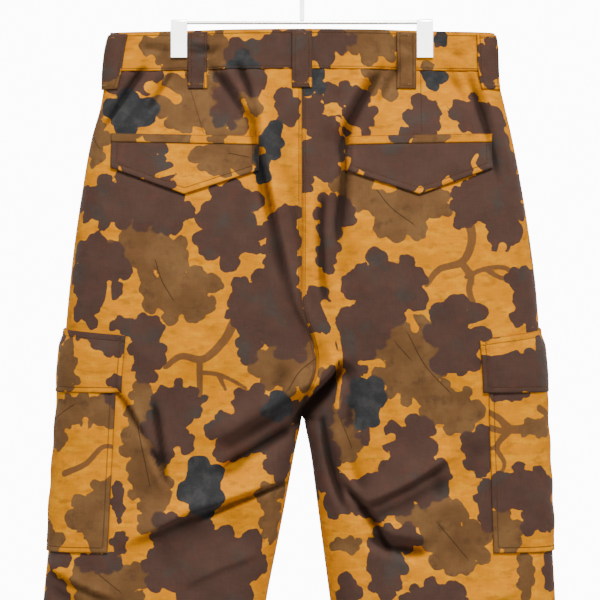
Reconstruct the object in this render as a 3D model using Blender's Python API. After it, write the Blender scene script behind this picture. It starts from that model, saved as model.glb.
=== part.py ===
"""Cargo pants hung by the waistband from a clip hanger.

Metres, +Z up. The origin is the inside top of the hanger's hook. The pants hang below it with their
front facing -Y, so the wearer's left is +X. Heights on the cloth are drops below the waist's top edge.
Every piece of cloth is a wall between two offsets from one surface: a horizontal ring at each drop,
which runs from the front's inner edge round the outseam to the back's inner edge.
"""

import functools
import math
from collections import namedtuple

import bmesh
import bpy
import numpy as np

# Heights
HOOK_TO_WAIST = 0.094
WAISTBAND_HEIGHT = 0.042
CROTCH_DROP = 0.411
HEM_DROP = 1.060

# Walls and gaps
SEAM_GAP = 0.0003
LAY_GAP = 0.0005
CLOTH_WALL = 0.0012
BAND_WALL = 0.0020
BAND_PROUD = 0.0006

# Crotch: the drops where its curve leaves the straight centre seams, and its roundness
FRONT_CURVE_DROP = 0.235
BACK_CURVE_DROP = 0.185
CROTCH_SQUARENESS = 1.7
INNER_ROLL = 0.048

# Hanger
CLIP_X = 0.1307
CLIP_WIDTH = 0.0172
CLIP_DROP = 0.029
CLIP_WALL = 0.0015
CLIP_JAW_ABOVE_WAIST = 0.001
CLIP_LIP_LENGTH = 0.004
CLIP_LIP_FLARE = 0.0012
CLIP_PINCH_DEPTH = BAND_WALL - BAND_PROUD + SEAM_GAP
PINCH_FLAT = 0.015
PINCH_REACH = 0.042
PINCH_FULL_DROP = 0.034
PINCH_END_DROP = 0.115
BAR_ABOVE_WAIST = 0.0091
BAR_RADIUS = 0.0021
BAR_END_INSET = 0.0005
HOOK_WIRE_RADIUS = 0.0026
HOOK_INSIDE_RADIUS = 0.019
HOOK_NECK_RADIUS = 0.015
HOOK_END_ANGLE = math.radians(196)
HOOK_NECK_POINTS = 5
HOOK_ARC_POINTS = 18
BEND_ANGLES = np.radians((0, 30, 60, 90))

# Belt loops
LOOP_WIDTH = 0.0215
LOOP_TOP_DROP = 0.002
LOOP_LENGTH = 0.060
LOOP_WALL = 0.0014
LOOP_STAND = 0.0018
LOOP_SETTLE = 0.012
LOOP_ROWS = 7
BACK_LOOP_X = 0.1105
FRONT_LOOP_X = 0.093
SIDE_LOOP_START = 0.002

# Back pockets
BACK_POCKET_INNER_X = 0.0455
BACK_POCKET_WIDTH = 0.1555
WELT_DROP = 0.1105
WELT_HEIGHT = 0.0092
WELT_SLOPE = 0.018
WELT_WALL = 0.0016
BACK_FLAP_SIDE = 0.0270
BACK_FLAP_POINT = 0.0540
BACK_FLAP_WALL = 0.0015

# Cargo pockets: distances round the leg from the outseam
CARGO_BACK_REACH = 0.082
CARGO_FRONT_REACH = 0.115
CARGO_FRONT_LINE = 0.098
CARGO_ROWS = 9
CARGO_FLAP_OVERHANG = 0.006
CARGO_FLAP_DROP = 0.316
CARGO_FLAP_BEND = 0.014
CARGO_FLAP_END_DROP = 0.3835
CARGO_MOUTH_DROP = 0.340
CARGO_BOTTOM_DROP = 0.552
CARGO_SLOPE = {1: 0.085, -1: 0.13}
CARGO_WALL = 0.0022
CARGO_FLAP_WALL = 0.0016

# Fly and button
FLY_WIDTH = 0.037
FLY_STRAIGHT_DROP = 0.150
FLY_END_DROP = 0.196
FLY_INSET = 0.0012
FLY_STRAIGHT_ROWS = 5
FLY_CURVE_ANGLES = np.radians((25, 45, 62, 76))
FLY_COLUMNS = 4
TAB_LENGTH = 0.032
TAB_RAMP = 0.016
TAB_LINES = (0.2, 0.6, 1.0)
BUTTON_RADIUS = 0.0085
BUTTON_HEIGHT = 0.0030
BUTTON_EDGE = 0.0006
BUTTON_X = -0.015
BUTTON_DROP = 0.021

# The ring at each drop: how far out and in each leg reaches, how deep its front and back stand
# from the middle plane, and how wide the rounding at the outseam is.
Section = namedtuple("Section", "drop out_left out_right in_left in_right front back side_roll")
SECTIONS = (
    Section(-0.004, 0.2030, 0.2040, 0.0000, 0.0000, 0.0070, 0.0072, 0.010),
    Section(0.0110, 0.2060, 0.2060, 0.0000, 0.0000, 0.0074, 0.0078, 0.011),
    Section(0.0480, 0.2100, 0.2090, 0.0000, 0.0000, 0.0092, 0.0110, 0.014),
    Section(0.0800, 0.2145, 0.2160, 0.0000, 0.0000, 0.0125, 0.0175, 0.021),
    Section(0.1110, 0.2230, 0.2230, 0.0000, 0.0000, 0.0155, 0.0240, 0.028),
    Section(0.1750, 0.2345, 0.2350, 0.0000, 0.0000, 0.0200, 0.0330, 0.039),
    Section(0.2225, 0.2415, 0.2425, 0.0000, 0.0000, 0.0235, 0.0370, 0.046),
    Section(0.2700, 0.2470, 0.2485, 0.0000, 0.0000, 0.0265, 0.0395, 0.051),
    Section(0.3180, 0.2515, 0.2525, 0.0000, 0.0000, 0.0290, 0.0405, 0.055),
    Section(0.3660, 0.2560, 0.2570, 0.0000, 0.0000, 0.0315, 0.0405, 0.058),
    Section(0.4120, 0.2595, 0.2590, 0.0004, 0.0020, 0.0335, 0.0395, 0.060),
    Section(0.4450, 0.2620, 0.2610, 0.0072, 0.0085, 0.0345, 0.0385, 0.060),
    Section(0.4930, 0.2655, 0.2635, 0.0160, 0.0150, 0.0345, 0.0370, 0.060),
    Section(0.5405, 0.2690, 0.2660, 0.0252, 0.0212, 0.0340, 0.0355, 0.059),
    Section(0.6030, 0.2750, 0.2695, 0.0375, 0.0295, 0.0325, 0.0335, 0.057),
    Section(0.7600, 0.2820, 0.2745, 0.0560, 0.0475, 0.0295, 0.0300, 0.053),
    Section(0.9100, 0.2860, 0.2785, 0.0670, 0.0585, 0.0270, 0.0275, 0.050),
    Section(1.0700, 0.2890, 0.2815, 0.0755, 0.0670, 0.0255, 0.0260, 0.047),
)

# Largest folds: from (x, drop) to (x_end, drop_end), bowed sideways, height outward (a trough is
# negative) fading over width. Each one dies away over its ends and towards the outseam.
FOLD_END_SHARE = 0.25
OUTSEAM_FADE = 0.03
Fold = namedtuple("Fold", "face x drop x_end drop_end bow width height")
FOLDS = (
    # The seat is full on each side of the centre seam.
    Fold("back", 0.115, 0.130, 0.110, 0.400, 0.010, 0.070, 0.0070),
    Fold("back", -0.120, 0.130, -0.115, 0.400, -0.010, 0.070, 0.0070),
    Fold("back", 0.000, 0.060, 0.000, 0.330, 0.000, 0.018, -0.0030),
    # Pulls from the band and across the seat
    Fold("back", 0.153, 0.042, 0.212, 0.100, 0.000, 0.014, -0.0025),
    Fold("back", -0.150, 0.042, -0.212, 0.100, 0.000, 0.014, -0.0025),
    Fold("back", 0.047, 0.170, 0.004, 0.330, 0.006, 0.018, 0.0040),
    Fold("back", -0.030, 0.160, -0.034, 0.290, 0.008, 0.016, -0.0035),
    Fold("back", -0.050, 0.180, -0.062, 0.330, 0.008, 0.020, 0.0035),
    # Below the crotch, back
    Fold("back", 0.008, 0.412, 0.085, 0.462, -0.006, 0.018, -0.0045),
    Fold("back", 0.020, 0.482, 0.176, 0.541, -0.016, 0.020, 0.0055),
    Fold("back", 0.040, 0.520, 0.170, 0.580, -0.010, 0.020, -0.0040),
    Fold("back", 0.150, 0.440, 0.172, 0.500, 0.000, 0.018, -0.0040),
    Fold("back", -0.026, 0.440, -0.088, 0.552, 0.012, 0.018, -0.0050),
    Fold("back", -0.056, 0.516, -0.150, 0.474, -0.006, 0.018, 0.0050),
    Fold("back", -0.088, 0.552, -0.180, 0.560, 0.006, 0.022, -0.0040),
    Fold("back", 0.270, 0.568, 0.205, 0.612, 0.000, 0.020, -0.0045),
    # Behind the knees and above the hems
    Fold("back", 0.060, 0.700, 0.230, 0.760, -0.012, 0.028, -0.0060),
    Fold("back", 0.090, 0.790, 0.260, 0.750, 0.010, 0.028, 0.0050),
    Fold("back", -0.060, 0.745, -0.240, 0.705, 0.012, 0.028, -0.0060),
    Fold("back", -0.080, 0.800, -0.250, 0.830, -0.010, 0.028, 0.0050),
    Fold("back", 0.090, 0.960, 0.250, 0.905, 0.008, 0.026, -0.0045),
    Fold("back", -0.085, 0.915, -0.250, 0.970, 0.008, 0.026, -0.0045),
    # Front: rays from the crotch, thighs, knees, ankles
    Fold("front", 0.010, 0.300, 0.110, 0.255, 0.006, 0.020, -0.0040),
    Fold("front", -0.012, 0.320, -0.100, 0.265, -0.006, 0.020, -0.0040),
    Fold("front", 0.012, 0.400, 0.120, 0.440, -0.008, 0.022, -0.0050),
    Fold("front", -0.016, 0.410, -0.130, 0.430, 0.008, 0.022, -0.0050),
    Fold("front", 0.090, 0.060, 0.120, 0.230, 0.006, 0.020, -0.0030),
    Fold("front", -0.100, 0.060, -0.115, 0.250, -0.006, 0.020, -0.0030),
    Fold("front", 0.040, 0.520, 0.150, 0.590, -0.010, 0.024, 0.0050),
    Fold("front", -0.045, 0.560, -0.150, 0.510, 0.010, 0.024, 0.0050),
    Fold("front", 0.070, 0.730, 0.240, 0.700, 0.012, 0.028, -0.0055),
    Fold("front", -0.070, 0.690, -0.235, 0.735, -0.012, 0.028, -0.0055),
    Fold("front", 0.080, 0.900, 0.250, 0.950, -0.010, 0.026, -0.0045),
    Fold("front", -0.075, 0.960, -0.250, 0.900, 0.010, 0.026, -0.0045),
)

# Mesh lines: down a panel as (drop reached, rows to get there), and round it from the outseam
PANEL_ROWS = (
    (0.111, 3),
    (0.183, 3),
    (0.316, 6),
    (0.384, 3),
    (0.404, 2),
    (CROTCH_DROP + 0.001, 1),
    (0.552, 7),
    (0.610, 2),
    (0.790, 6),
    (HEM_DROP, 7),
)
SIDE_COLUMNS = (0.010, 0.021, 0.034, 0.050, 0.066, CARGO_BACK_REACH)
INNER_COLUMNS = 8
LINE_SPACING = 0.004
BAND_ROWS = 2
RING_SAMPLES = 28

Finish = namedtuple("Finish", "name colour roughness metallic")
PANEL_COTTON = Finish("printed_cotton", (0.43, 0.27, 0.08), 0.85, 0.0)
BAND_COTTON = Finish("printed_cotton_band", (0.30, 0.18, 0.08), 0.85, 0.0)
TRIM_COTTON = Finish("printed_cotton_trim", (0.20, 0.12, 0.08), 0.85, 0.0)
BUTTON_PLASTIC = Finish("button_plastic", (0.12, 0.09, 0.06), 0.45, 0.0)
POLISHED_STEEL = Finish("polished_steel", (0.78, 0.78, 0.77), 0.15, 1.0)


def smoothstep(value):
    """0 below 0, 1 above 1, and a smooth rise between."""
    t = np.clip(value, 0.0, 1.0)
    return t * t * (3 - 2 * t)


def column(name):
    """One column of the section table."""
    return np.array([getattr(section, name) for section in SECTIONS])


def at_drop(name, drop):
    """A section column at any drop, along a smooth curve through the table's rows."""
    drops = column("drop")
    values = column(name)
    slopes = np.gradient(values, drops)
    row = int(np.clip(np.searchsorted(drops, drop) - 1, 0, len(drops) - 2))
    span = drops[row + 1] - drops[row]
    t = (drop - drops[row]) / span
    start = (2 * t**3 - 3 * t**2 + 1) * values[row] + (t**3 - 2 * t**2 + t) * span * slopes[row]
    end = (3 * t**2 - 2 * t**3) * values[row + 1] + (t**3 - t**2) * span * slopes[row + 1]
    return start + end


def fold_height(face, x, drop):
    """How far the folds of one face move the cloth outward at points x of one drop."""
    total = np.zeros_like(x)
    for fold in FOLDS:
        if fold.face != face:
            continue
        run = np.array((fold.x_end - fold.x, fold.drop_end - fold.drop))
        length = np.linalg.norm(run)
        run /= length
        along = ((x - fold.x) * run[0] + (drop - fold.drop) * run[1]) / length
        across = (drop - fold.drop) * run[0] - (x - fold.x) * run[1]
        across = across - fold.bow * 4 * along * (1 - along)
        ends = smoothstep(along / FOLD_END_SHARE) * smoothstep((1 - along) / FOLD_END_SHARE)
        total += fold.height * ends * np.exp(-((across / fold.width) ** 2))
    return total


def crotch_turn(face, drop):
    """How far a face has turned in at its inner edge: 0 at the centre seams, a right angle at the inseam."""
    start = FRONT_CURVE_DROP if face == "front" else BACK_CURVE_DROP
    share = np.clip((drop - start) / (CROTCH_DROP - start), 0.0, 1.0)
    return math.asin(share**CROTCH_SQUARENESS)


def half_ring(side, face, drop):
    """x and y of one face of one leg at a drop, from the outseam to the inner edge."""
    leg = "left" if side > 0 else "right"
    out_x = at_drop("out_" + leg, drop)
    in_x = max(at_drop("in_" + leg, drop), 0.0) if drop > CROTCH_DROP else 0.0
    in_x += SEAM_GAP / 2
    depth = at_drop(face, drop)
    roll = at_drop("side_roll", drop)
    turn = crotch_turn(face, drop)
    outer = np.linspace(math.pi / 2, 0, RING_SAMPLES)
    inner = np.linspace(0, turn, RING_SAMPLES)
    inner_start = in_x + INNER_ROLL * math.sin(turn)
    middle = np.linspace(out_x - roll, inner_start, 2 * RING_SAMPLES)[1:]
    outer_x = out_x - roll + roll * np.sin(outer)
    inner_x = inner_start - INNER_ROLL * np.sin(inner[1:])
    x = np.concatenate((outer_x, middle, inner_x))
    y = np.concatenate((depth * np.cos(outer), np.full(len(middle), depth), depth * np.cos(inner[1:])))
    near_clip = 1 - smoothstep((np.abs(x - CLIP_X) - PINCH_FLAT) / PINCH_REACH)
    near_band = 1 - smoothstep((drop - PINCH_FULL_DROP) / (PINCH_END_DROP - PINCH_FULL_DROP))
    return x, y * (1 - near_clip * near_band * (1 - CLIP_PINCH_DEPTH / depth))


@functools.lru_cache(maxsize=None)
def ring(side, drop):
    """One leg's ring at a drop: distance from the outseam (back positive), points and outward normals."""
    back_x, back_y = half_ring(side, "back", drop)
    front_x, front_y = half_ring(side, "front", drop)
    x = np.concatenate((front_x[::-1], back_x[1:]))
    y = np.concatenate((-front_y[::-1], back_y[1:]))
    keep = np.concatenate(([True], np.hypot(np.diff(x), np.diff(y)) > 1e-7))
    x, y = x[keep], y[keep]
    steps = np.hypot(np.diff(x), np.diff(y))
    s = np.concatenate(([0.0], np.cumsum(steps)))
    tangent = np.stack((np.gradient(x, s), np.gradient(y, s)), axis=1)
    tangent /= np.linalg.norm(tangent, axis=1)[:, None]
    normal = np.stack((tangent[:, 1], -tangent[:, 0]), axis=1)
    outseam = np.interp(0.0, y[np.abs(x) > 0.9 * x.max()], s[np.abs(x) > 0.9 * x.max()])
    rise = np.where(s < outseam, fold_height("front", side * x, drop), fold_height("back", side * x, drop))
    fade = smoothstep(np.abs(s - outseam) / OUTSEAM_FADE) * np.clip(np.abs(normal[:, 1]), 0, 1)
    folded_x = np.maximum(x + normal[:, 0] * rise * fade, min(x[0], x[-1]))
    return s - outseam, folded_x, y + normal[:, 1] * rise * fade, normal


def surface(side, s, drop, offset):
    """The point at distance s from the outseam, moved outward by offset."""
    distance, x, y, normal = ring(side, round(float(drop), 7))
    nx, ny = (np.interp(s, distance, normal[:, axis]) for axis in (0, 1))
    size = math.hypot(nx, ny)
    px = np.interp(s, distance, x) + offset * nx / size
    py = np.interp(s, distance, y) + offset * ny / size
    return side * px, py, -HOOK_TO_WAIST - drop


def reach(side, face, drop):
    """The distance from the outseam to a face's inner edge."""
    distance = ring(side, round(float(drop), 7))[0]
    return distance[-1] if face == "back" else -distance[0]


def distance_at_x(side, face, x, drop):
    """The distance from the outseam at which a face is x from the middle plane."""
    distance, ring_x, _, _ = ring(side, round(float(drop), 7))
    part = distance >= 0 if face == "back" else distance <= 0
    xs, ds = ring_x[part], distance[part]
    order = np.argsort(xs)
    return float(np.interp(x, xs[order], ds[order]))


def finish_material(finish):
    """The Principled material of a finish, made once."""
    found = bpy.data.materials.get(finish.name)
    if found:
        return found
    material = bpy.data.materials.new(finish.name)
    material.use_nodes = True
    shader = material.node_tree.nodes["Principled BSDF"]
    shader.inputs["Base Color"].default_value = (*finish.colour, 1.0)
    shader.inputs["Roughness"].default_value = finish.roughness
    shader.inputs["Metallic"].default_value = finish.metallic
    material.diffuse_color = (*finish.colour, 1.0)
    return material


def add_object(name, data, finish, parent):
    """Links an object with its material under its parent."""
    data.materials.append(finish_material(finish))
    thing = bpy.data.objects.new(name, data)
    thing.parent = parent
    bpy.context.scene.collection.objects.link(thing)
    return thing


def wall(name, outer, inner, finish, parent):
    """A closed wall between two grids of points, given as rows of (x, y, z)."""
    rows, columns = len(outer), len(outer[0])
    shape = bmesh.new()
    skins = [[[shape.verts.new(point) for point in row] for row in grid] for grid in (outer, inner)]
    for grid in skins:
        for i in range(rows - 1):
            for j in range(columns - 1):
                shape.faces.new((grid[i][j], grid[i][j + 1], grid[i + 1][j + 1], grid[i + 1][j]))
    rim = [(0, j) for j in range(columns)] + [(i, columns - 1) for i in range(1, rows)]
    rim += [(rows - 1, j) for j in range(columns - 2, -1, -1)] + [(i, 0) for i in range(rows - 2, 0, -1)]
    for (i, j), (k, m) in zip(rim, rim[1:] + rim[:1]):
        shape.faces.new((skins[0][i][j], skins[0][k][m], skins[1][k][m], skins[1][i][j]))
    bmesh.ops.recalc_face_normals(shape, faces=shape.faces)
    mesh = bpy.data.meshes.new(name)
    shape.to_mesh(mesh)
    shape.free()
    mesh.shade_smooth()
    mesh.set_sharp_from_angle(angle=math.radians(50))
    return add_object(name, mesh, finish, parent)


def band_drops():
    """The drops of the waistband's rows."""
    return list(np.linspace(0, WAISTBAND_HEIGHT, BAND_ROWS + 1))


def panel_drops():
    """The drops of a leg panel's rows, from just under the waistband to the hem."""
    drops = [WAISTBAND_HEIGHT + SEAM_GAP]
    for stop, count in PANEL_ROWS:
        drops += list(np.linspace(drops[-1], stop, count + 1)[1:])
    return drops


def panel_columns(side, face, drop):
    """Distances from the outseam of a panel's columns at a drop, with half a seam gap at each edge."""
    edge_turn = math.sin(crotch_turn(face, drop))
    last = reach(side, face, drop) - SEAM_GAP / 2 * edge_turn
    share = np.arange(1, INNER_COLUMNS + 1) / INNER_COLUMNS
    closer_inward = (share + np.sin(share * math.pi / 2)) / 2
    inner = SIDE_COLUMNS[-1] + (last - SIDE_COLUMNS[-1]) * closer_inward
    return np.concatenate(([SEAM_GAP / 2], SIDE_COLUMNS, inner))


@functools.lru_cache(maxsize=None)
def mesh_row(side, drop):
    """One row of a leg's mesh lines: distances from the outseam, points and outward steps of one metre."""
    front = -panel_columns(side, "front", drop)[::-1]
    columns = np.concatenate((front, panel_columns(side, "back", drop)))
    points = np.array([surface(side, s, drop, 0.0) for s in columns])
    steps = np.array([surface(side, s, drop, 1.0) for s in columns]) - points
    return columns, points, steps


def on_cloth(side, s, drop, offset):
    """A point on the flat faces between the panels' or waistband's mesh lines, moved outward by offset."""
    drops = band_drops() + panel_drops()
    row = int(np.clip(np.searchsorted(drops, drop) - 1, 0, len(drops) - 2))
    share = (drop - drops[row]) / (drops[row + 1] - drops[row])
    ends = []
    for level in (drops[row], drops[row + 1]):
        columns, points, steps = mesh_row(side, level)
        moved = points + offset * steps
        ends.append(np.array([np.interp(s, columns, moved[:, axis]) for axis in range(3)]))
    return tuple(ends[0] * (1 - share) + ends[1] * share)


def add_panel(side, face, parent):
    """One leg panel, from the waistband to the hem and from the outseam to the centre seam and inseam."""
    sign = 1 if face == "back" else -1
    grids = ([], [])
    for drop in panel_drops():
        columns = sign * panel_columns(side, face, drop)
        for grid, offset in zip(grids, (0.0, -CLOTH_WALL)):
            grid.append([surface(side, s, drop, offset) for s in columns])
    leg = "left" if side > 0 else "right"
    return wall(f"{leg}_{face}_panel", *grids, PANEL_COTTON, parent)


def band_columns(drop):
    """The waistband's columns as (side, distance, lift), from the right front end round to the button tab."""
    columns = []
    for side in (-1, 1):
        front = [-s for s in panel_columns(side, "front", drop)][::-1]
        back = list(panel_columns(side, "back", drop))
        run = front + back[1:]
        columns += [(side, s, 0.0) for s in (run if side < 0 else run[-2:1:-1])]
    lift = BAND_WALL + SEAM_GAP
    left_end, right_end = reach(1, "front", drop), reach(-1, "front", drop)
    columns += [(1, -(left_end - share * TAB_RAMP), lift * (1 - share)) for share in (1.0, 0.0)]
    columns += [(-1, -(right_end - share * TAB_LENGTH), lift) for share in TAB_LINES]
    return columns


def add_waistband(parent):
    """The waistband, one strip with its end lying over the other at the front."""
    grids = ([], [])
    for drop in band_drops():
        columns = band_columns(drop)
        for grid, offset in zip(grids, (BAND_PROUD, BAND_PROUD - BAND_WALL)):
            grid.append([surface(side, s, drop, offset + lift) for side, s, lift in columns])
    return wall("waistband", *grids, BAND_COTTON, parent)


def add_belt_loop(name, places, parent):
    """A belt loop, tacked down above and below the waistband and standing off between.

    places(drop) gives its lengthwise lines as (side, distance from the outseam).
    """
    grids = ([], [])
    for share in np.linspace(0, 1, LOOP_ROWS):
        drop = LOOP_TOP_DROP + share * LOOP_LENGTH
        proud = BAND_PROUD * (1 - smoothstep((drop - WAISTBAND_HEIGHT) / LOOP_SETTLE))
        stand = proud + LAY_GAP + LOOP_STAND * math.sin(math.pi * share) ** 0.5
        for grid, thick in zip(grids, (LOOP_WALL, 0.0)):
            grid.append([on_cloth(side, s, drop, stand + thick) for side, s in places(drop)])
    return wall(name, *grids, TRIM_COTTON, parent)


def add_belt_loops(parent):
    """Five loops round the back and two at the front."""
    edges = (-LOOP_WIDTH / 2, 0.0, LOOP_WIDTH / 2)

    def at_x(face, centre):
        def places(drop):
            spots = [centre + edge for edge in edges]
            legs = [1 if spot >= 0 else -1 for spot in spots]
            return [(leg, distance_at_x(leg, face, abs(spot), drop)) for leg, spot in zip(legs, spots)]

        return places

    def at_side(side):
        lines = (SIDE_LOOP_START,) + SIDE_COLUMNS[:2] + (SIDE_LOOP_START + LOOP_WIDTH,)
        return lambda drop: [(side, s) for s in lines]

    add_belt_loop("belt_loop_centre_back", at_x("back", 0.0), parent)
    for side, leg in ((1, "left"), (-1, "right")):
        add_belt_loop(f"belt_loop_back_{leg}", at_x("back", side * BACK_LOOP_X), parent)
        add_belt_loop(f"belt_loop_side_{leg}", at_side(side), parent)
        add_belt_loop(f"belt_loop_front_{leg}", at_x("front", side * FRONT_LOOP_X), parent)


def patch_lines(side, x_range, top, bottom, corner_x):
    """Lengthwise lines of a piece on the back, each a function from drop to distance from the outseam.

    Between its own two edges and its corner they are the panel's lines, so that both bend together.
    """

    def at_x(x):
        return lambda drop: distance_at_x(side, "back", x, drop)

    def at_column(index):
        return lambda drop: panel_columns(side, "back", drop)[index]

    inner_x, outer_x = x_range
    starts, stops = [], []
    for edge in (top, bottom):
        starts.append(at_x(outer_x)(edge(outer_x)) + LINE_SPACING)
        stops.append(at_x(inner_x)(edge(inner_x)) - LINE_SPACING)
    middle = (top(outer_x) + bottom(outer_x)) / 2
    corner = at_x(corner_x)(middle) if corner_x else -1.0
    lines = [at_x(outer_x)]
    for index, s in enumerate(panel_columns(side, "back", middle)):
        if max(starts) < s < min(stops) and abs(s - corner) > LINE_SPACING:
            lines.append(at_column(index))
    if corner_x:
        lines.append(at_x(corner_x))
    lines.append(at_x(inner_x))
    return sorted(lines, key=lambda line: line(middle))


def patch(name, side, x_range, top, bottom, thickness, finish, parent, rows=2, corner_x=None):
    """A piece lying on a back panel, from top(x) to bottom(x)."""

    def settle(line, edge):
        drop = edge(x_range[0])
        for _ in range(3):
            drop = edge(abs(surface(side, line(drop), drop, 0.0)[0]))
        return drop

    grids = [[[] for _ in range(rows + 1)] for _ in range(2)]
    for line in patch_lines(side, x_range, top, bottom, corner_x):
        for i, drop in enumerate(np.linspace(settle(line, top), settle(line, bottom), rows + 1)):
            for grid, thick in zip(grids, (thickness, 0.0)):
                grid[i].append(on_cloth(side, line(drop), drop, LAY_GAP + thick))
    return wall(name, *grids, finish, parent)


def add_back_pocket(side, parent):
    """A back pocket's welt and its pointed flap."""
    leg = "left" if side > 0 else "right"
    x_range = (BACK_POCKET_INNER_X, BACK_POCKET_INNER_X + BACK_POCKET_WIDTH)
    middle = sum(x_range) / 2

    def welt_top(x):
        return WELT_DROP + WELT_SLOPE * (x_range[1] - x)

    def welt_bottom(x):
        return welt_top(x) + WELT_HEIGHT

    def flap_top(x):
        return welt_bottom(x) + SEAM_GAP

    def flap_bottom(x):
        point = 1 - abs(x - middle) / (BACK_POCKET_WIDTH / 2)
        return welt_bottom(x) + BACK_FLAP_SIDE + (BACK_FLAP_POINT - BACK_FLAP_SIDE) * point

    name = f"{leg}_back_pocket_"
    patch(name + "welt", side, x_range, welt_top, welt_bottom, WELT_WALL, TRIM_COTTON, parent, rows=1)
    patch(name + "flap", side, x_range, flap_top, flap_bottom, BACK_FLAP_WALL, TRIM_COTTON, parent, 3, middle)


def cargo_grid(side, columns, drops_of, base, thickness):
    """Outer and inner grids over the outseam; drops_of(s) gives one column's drops, base one per row."""
    grids = ([], [])
    for i, stand in enumerate(base):
        for grid, thick in zip(grids, (thickness, 0.0)):
            grid.append([on_cloth(side, s, drops_of(s)[i], stand + thick) for s in columns])
    return grids


def add_cargo_pocket(side, parent):
    """A cargo pocket's bag and flap, wrapped over the outseam."""
    leg = "left" if side > 0 else "right"
    front = [-s for s in SIDE_COLUMNS + (CARGO_FRONT_LINE, CARGO_FRONT_REACH)]
    bag_columns = sorted(front) + [0.0] + list(SIDE_COLUMNS)
    edge = CARGO_FLAP_OVERHANG
    flap_columns = [bag_columns[0] - edge] + bag_columns + [bag_columns[-1] + edge]
    slope = CARGO_SLOPE[side]

    def bag_drops(s):
        return np.linspace(CARGO_MOUTH_DROP + slope * s, CARGO_BOTTOM_DROP, CARGO_ROWS)

    def flap_drops(s):
        top = CARGO_FLAP_DROP + slope * s
        return [top] + list(np.linspace(top + CARGO_FLAP_BEND, CARGO_FLAP_END_DROP, 3))

    over_bag = LAY_GAP + CARGO_WALL + SEAM_GAP
    bag = cargo_grid(side, bag_columns, bag_drops, [LAY_GAP] * CARGO_ROWS, CARGO_WALL)
    flap = cargo_grid(side, flap_columns, flap_drops, [LAY_GAP] + [over_bag] * 3, CARGO_FLAP_WALL)
    wall(f"{leg}_cargo_pocket", *bag, PANEL_COTTON, parent)
    wall(f"{leg}_cargo_flap", *flap, TRIM_COTTON, parent)


def add_fly(parent):
    """The fly placket on the left front, straight and then rounded in to the centre seam."""
    top = WAISTBAND_HEIGHT + 2 * SEAM_GAP
    curve = FLY_END_DROP - FLY_STRAIGHT_DROP
    rows = [(drop, FLY_WIDTH) for drop in np.linspace(top, FLY_STRAIGHT_DROP, FLY_STRAIGHT_ROWS)]
    for angle in FLY_CURVE_ANGLES:
        rows.append((FLY_STRAIGHT_DROP + curve * math.sin(angle), FLY_WIDTH * math.cos(angle)))
    grids = ([], [])
    for drop, width in rows:
        places = [distance_at_x(1, "front", x, drop) for x in np.linspace(FLY_INSET, width, FLY_COLUMNS)]
        for grid, thick in zip(grids, (CLOTH_WALL, 0.0)):
            grid.append([on_cloth(1, -abs(s), drop, LAY_GAP + thick) for s in places])
    return wall("fly_placket", *grids, TRIM_COTTON, parent)


def cylinder(name, radius, length, location, rotation, finish, parent, segments, bevel=0.0):
    """A capped cylinder along its own Z, placed by its centre."""
    shape = bmesh.new()
    bmesh.ops.create_cone(
        shape, cap_ends=True, cap_tris=False, segments=segments, radius1=radius, radius2=radius, depth=length
    )
    mesh = bpy.data.meshes.new(name)
    shape.to_mesh(mesh)
    shape.free()
    mesh.shade_smooth()
    mesh.set_sharp_from_angle(angle=math.radians(40))
    thing = add_object(name, mesh, finish, parent)
    thing.location = location
    thing.rotation_euler = rotation
    if bevel:
        edge = thing.modifiers.new("edge", "BEVEL")
        edge.width = bevel
        edge.segments = 1
        edge.limit_method = "ANGLE"
    return thing


def add_button(parent):
    """The waist button, on the tab."""
    distance = distance_at_x(-1, "front", -BUTTON_X, BUTTON_DROP)
    _, y, z = surface(-1, -abs(distance), BUTTON_DROP, 0.0)
    seat = BAND_PROUD + BAND_WALL + SEAM_GAP + LAY_GAP
    location = (BUTTON_X, y - seat - BUTTON_HEIGHT / 2, z)
    facing = (math.pi / 2, 0, 0)
    size = (BUTTON_RADIUS, BUTTON_HEIGHT)
    cylinder("waist_button", *size, location, facing, BUTTON_PLASTIC, parent, 20, BUTTON_EDGE)


def add_hanger(parent):
    """The bar, the hook above it and a clip over each end of the bar."""
    bar_z = -HOOK_TO_WAIST + BAR_ABOVE_WAIST
    size = (BAR_RADIUS, 2 * (CLIP_X + CLIP_WIDTH / 2 - BAR_END_INSET))
    lengthwise = (0, math.pi / 2, 0)
    cylinder("hanger_bar", *size, (0, 0, bar_z), lengthwise, POLISHED_STEEL, parent, 16)
    add_hook(bar_z, parent)
    for side, leg in ((1, "left"), (-1, "right")):
        add_clip(f"hanger_clip_{leg}", side * CLIP_X, bar_z, parent)


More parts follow.
